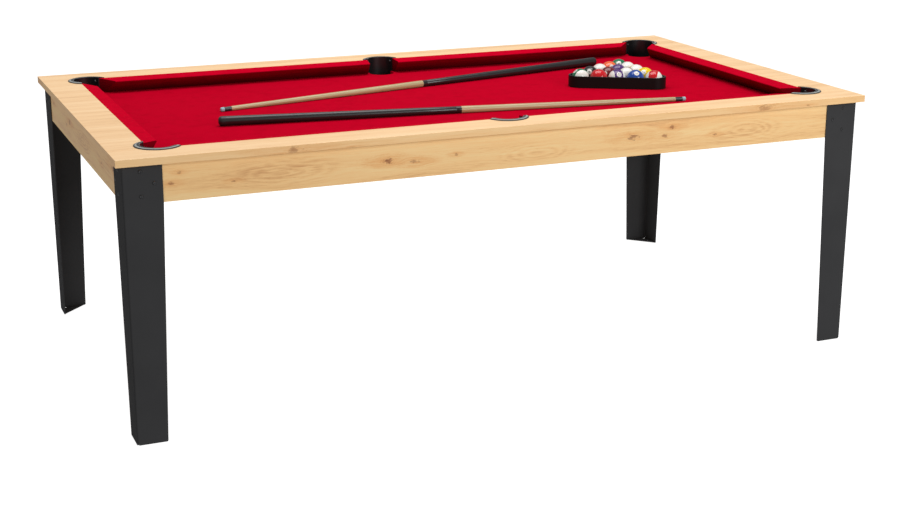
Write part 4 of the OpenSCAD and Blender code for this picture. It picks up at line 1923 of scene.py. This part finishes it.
@dataclass
class Underframe:
    """The pieces under and behind the boards that keep their frame shape.

    Attributes:
        looks: Each piece's finish.
    """

    looks: dict[str, Finish] = field(default_factory=lambda: {
        "corner_blocks": PINE, "bed_ledgers": PINE, "bed_crossbeams": PINE, "cushion_battens": PINE,
        "bed_panel": FIBREBOARD, "cushion_rubbers": RUBBER, "wood_screws": SCREW_BLACK,
    })

    def build(self, finishes: Finishes) -> None:
        """Dresses each piece.

        Args:
            finishes: Where each finish comes from.
        """
        for node, finish in self.looks.items():
            finishes.dress(frame["nodes"][node], finish)
            LOG.info("%s: dressed in %s", node, finish.name)


# ---------------------------------------------------------------- studio


@dataclass(frozen=True)
class Softbox:
    """A rectangular light that faces the table's top.

    Attributes:
        name: Its name.
        at: Where it hangs.
        size: Its width and height.
        power: Its power, in watts.
    """

    name: str
    at: Point
    size: tuple[float, float]
    power: float

    def build(self) -> None:
        """Hangs the light."""
        Bench.clear()
        bpy.ops.object.light_add(type="AREA", location=self.at)
        light = bpy.context.active_object
        light.name = self.name
        light.data.shape = "RECTANGLE"
        light.data.size, light.data.size_y = self.size
        light.data.energy = self.power
        light.rotation_euler = (LIT_POINT - Vector(self.at)).to_track_quat("-Z", "Y").to_euler()


LIT_POINT = Vector((0.0, 0.0, 0.7))
SOFTBOXES = (
    Softbox("overhead_softbox", (0.2, 0.5, 4.2), (3.6, 2.4), 110.0),
    Softbox("front_softbox", (1.8, -4.4, 2.2), (2.4, 1.6), 96.0),
)


@dataclass
class Studio:
    """A white sweep, soft lights and the camera.

    Attributes:
        lens: The camera's lens, in millimetres.
        stand: Where the camera stands.
        yaw: How far it is turned from +y towards +x, in radians.
        pitch: How far it looks down.
        sky: How bright the sky is.
        glow: How bright the floor looks by itself.
        bounce: How brightly it lights the table from below.
    """

    lens: float = 63.188
    stand: tuple[float, float, float] = (-1.8478, -4.5719, 1.7051)
    yaw: float = 0.3916
    pitch: float = 0.2888
    sky: float = 0.34
    glow: float = 0.9
    bounce: float = 0.34

    def floor(self) -> None:
        """A plain pale floor that glows a little, so that shadows on it stay faint."""
        Bench.clear()
        bpy.ops.mesh.primitive_grid_add(x_subdivisions=2, y_subdivisions=2, size=80.0,
                                        location=(0.0, 0.0, -0.0005))
        floor = Bench.named("studio_floor")
        graph = Graph("pale_floor")
        haze = graph.noise(graph.place(), 0.4, 2.0)
        seen = graph.output("ShaderNodeLightPath", socket="Is Camera Ray")
        shade = haze * 0.02 + graph.blend(seen, 0.15, 0.50)
        tone = graph.mix(shade, (0.0, 0.0, 0.0), (1.0, 1.0, 1.0))
        glow = graph.blend(seen, self.bounce, self.glow)
        paint = graph.finish(Base_Color=tone, Roughness=0.9, Emission_Color=(1.0, 1.0, 1.0),
                             Emission_Strength=glow, Specular_IOR_Level=0.1)
        floor.data.materials.append(paint)

    def camera(self) -> None:
        """The camera at the table's front left."""
        Bench.clear()
        bpy.ops.object.camera_add(location=self.stand, rotation=(math.pi / 2 - self.pitch, 0.0, -self.yaw))
        camera = bpy.context.active_object
        camera.name = "studio_camera"
        camera.data.lens = self.lens
        camera.data.sensor_width = 36.0
        camera.data.clip_end = 200.0
        bpy.context.scene.camera = camera

    def build(self) -> None:
        """Sets up the camera, the floor and the lights."""
        self.camera()
        self.floor()
        world = bpy.data.worlds.new("studio_sky")
        SkyGraph(world).shine(1.0, self.sky)
        bpy.context.scene.world = world
        for softbox in SOFTBOXES:
            softbox.build()
        bpy.context.scene.view_settings.view_transform = "Standard"
        LOG.info("studio: one camera, one floor, two softboxes")


def main() -> None:
    """Builds the studio, then the table from its frame to its cloth, then what lies on it."""
    logging.basicConfig(level=logging.INFO, format="%(name)s: %(message)s")
    finishes = Finishes()
    Studio().build()
    TopFrame().build(finishes)
    Legs().build(finishes)
    Underframe().build(finishes)
    pockets = Pockets()
    pockets.build(finishes)
    BedCloth().build(finishes, pockets)
    Cushions().build(finishes)
    Rack().build(finishes)
    Balls().build(finishes)
    Cue(1, 0.752, 0.37521, 191.9).build(finishes)
    Cue(2, -0.745, -0.131175, -7.2).build(finishes)


if __name__ == "__main__":
    main()
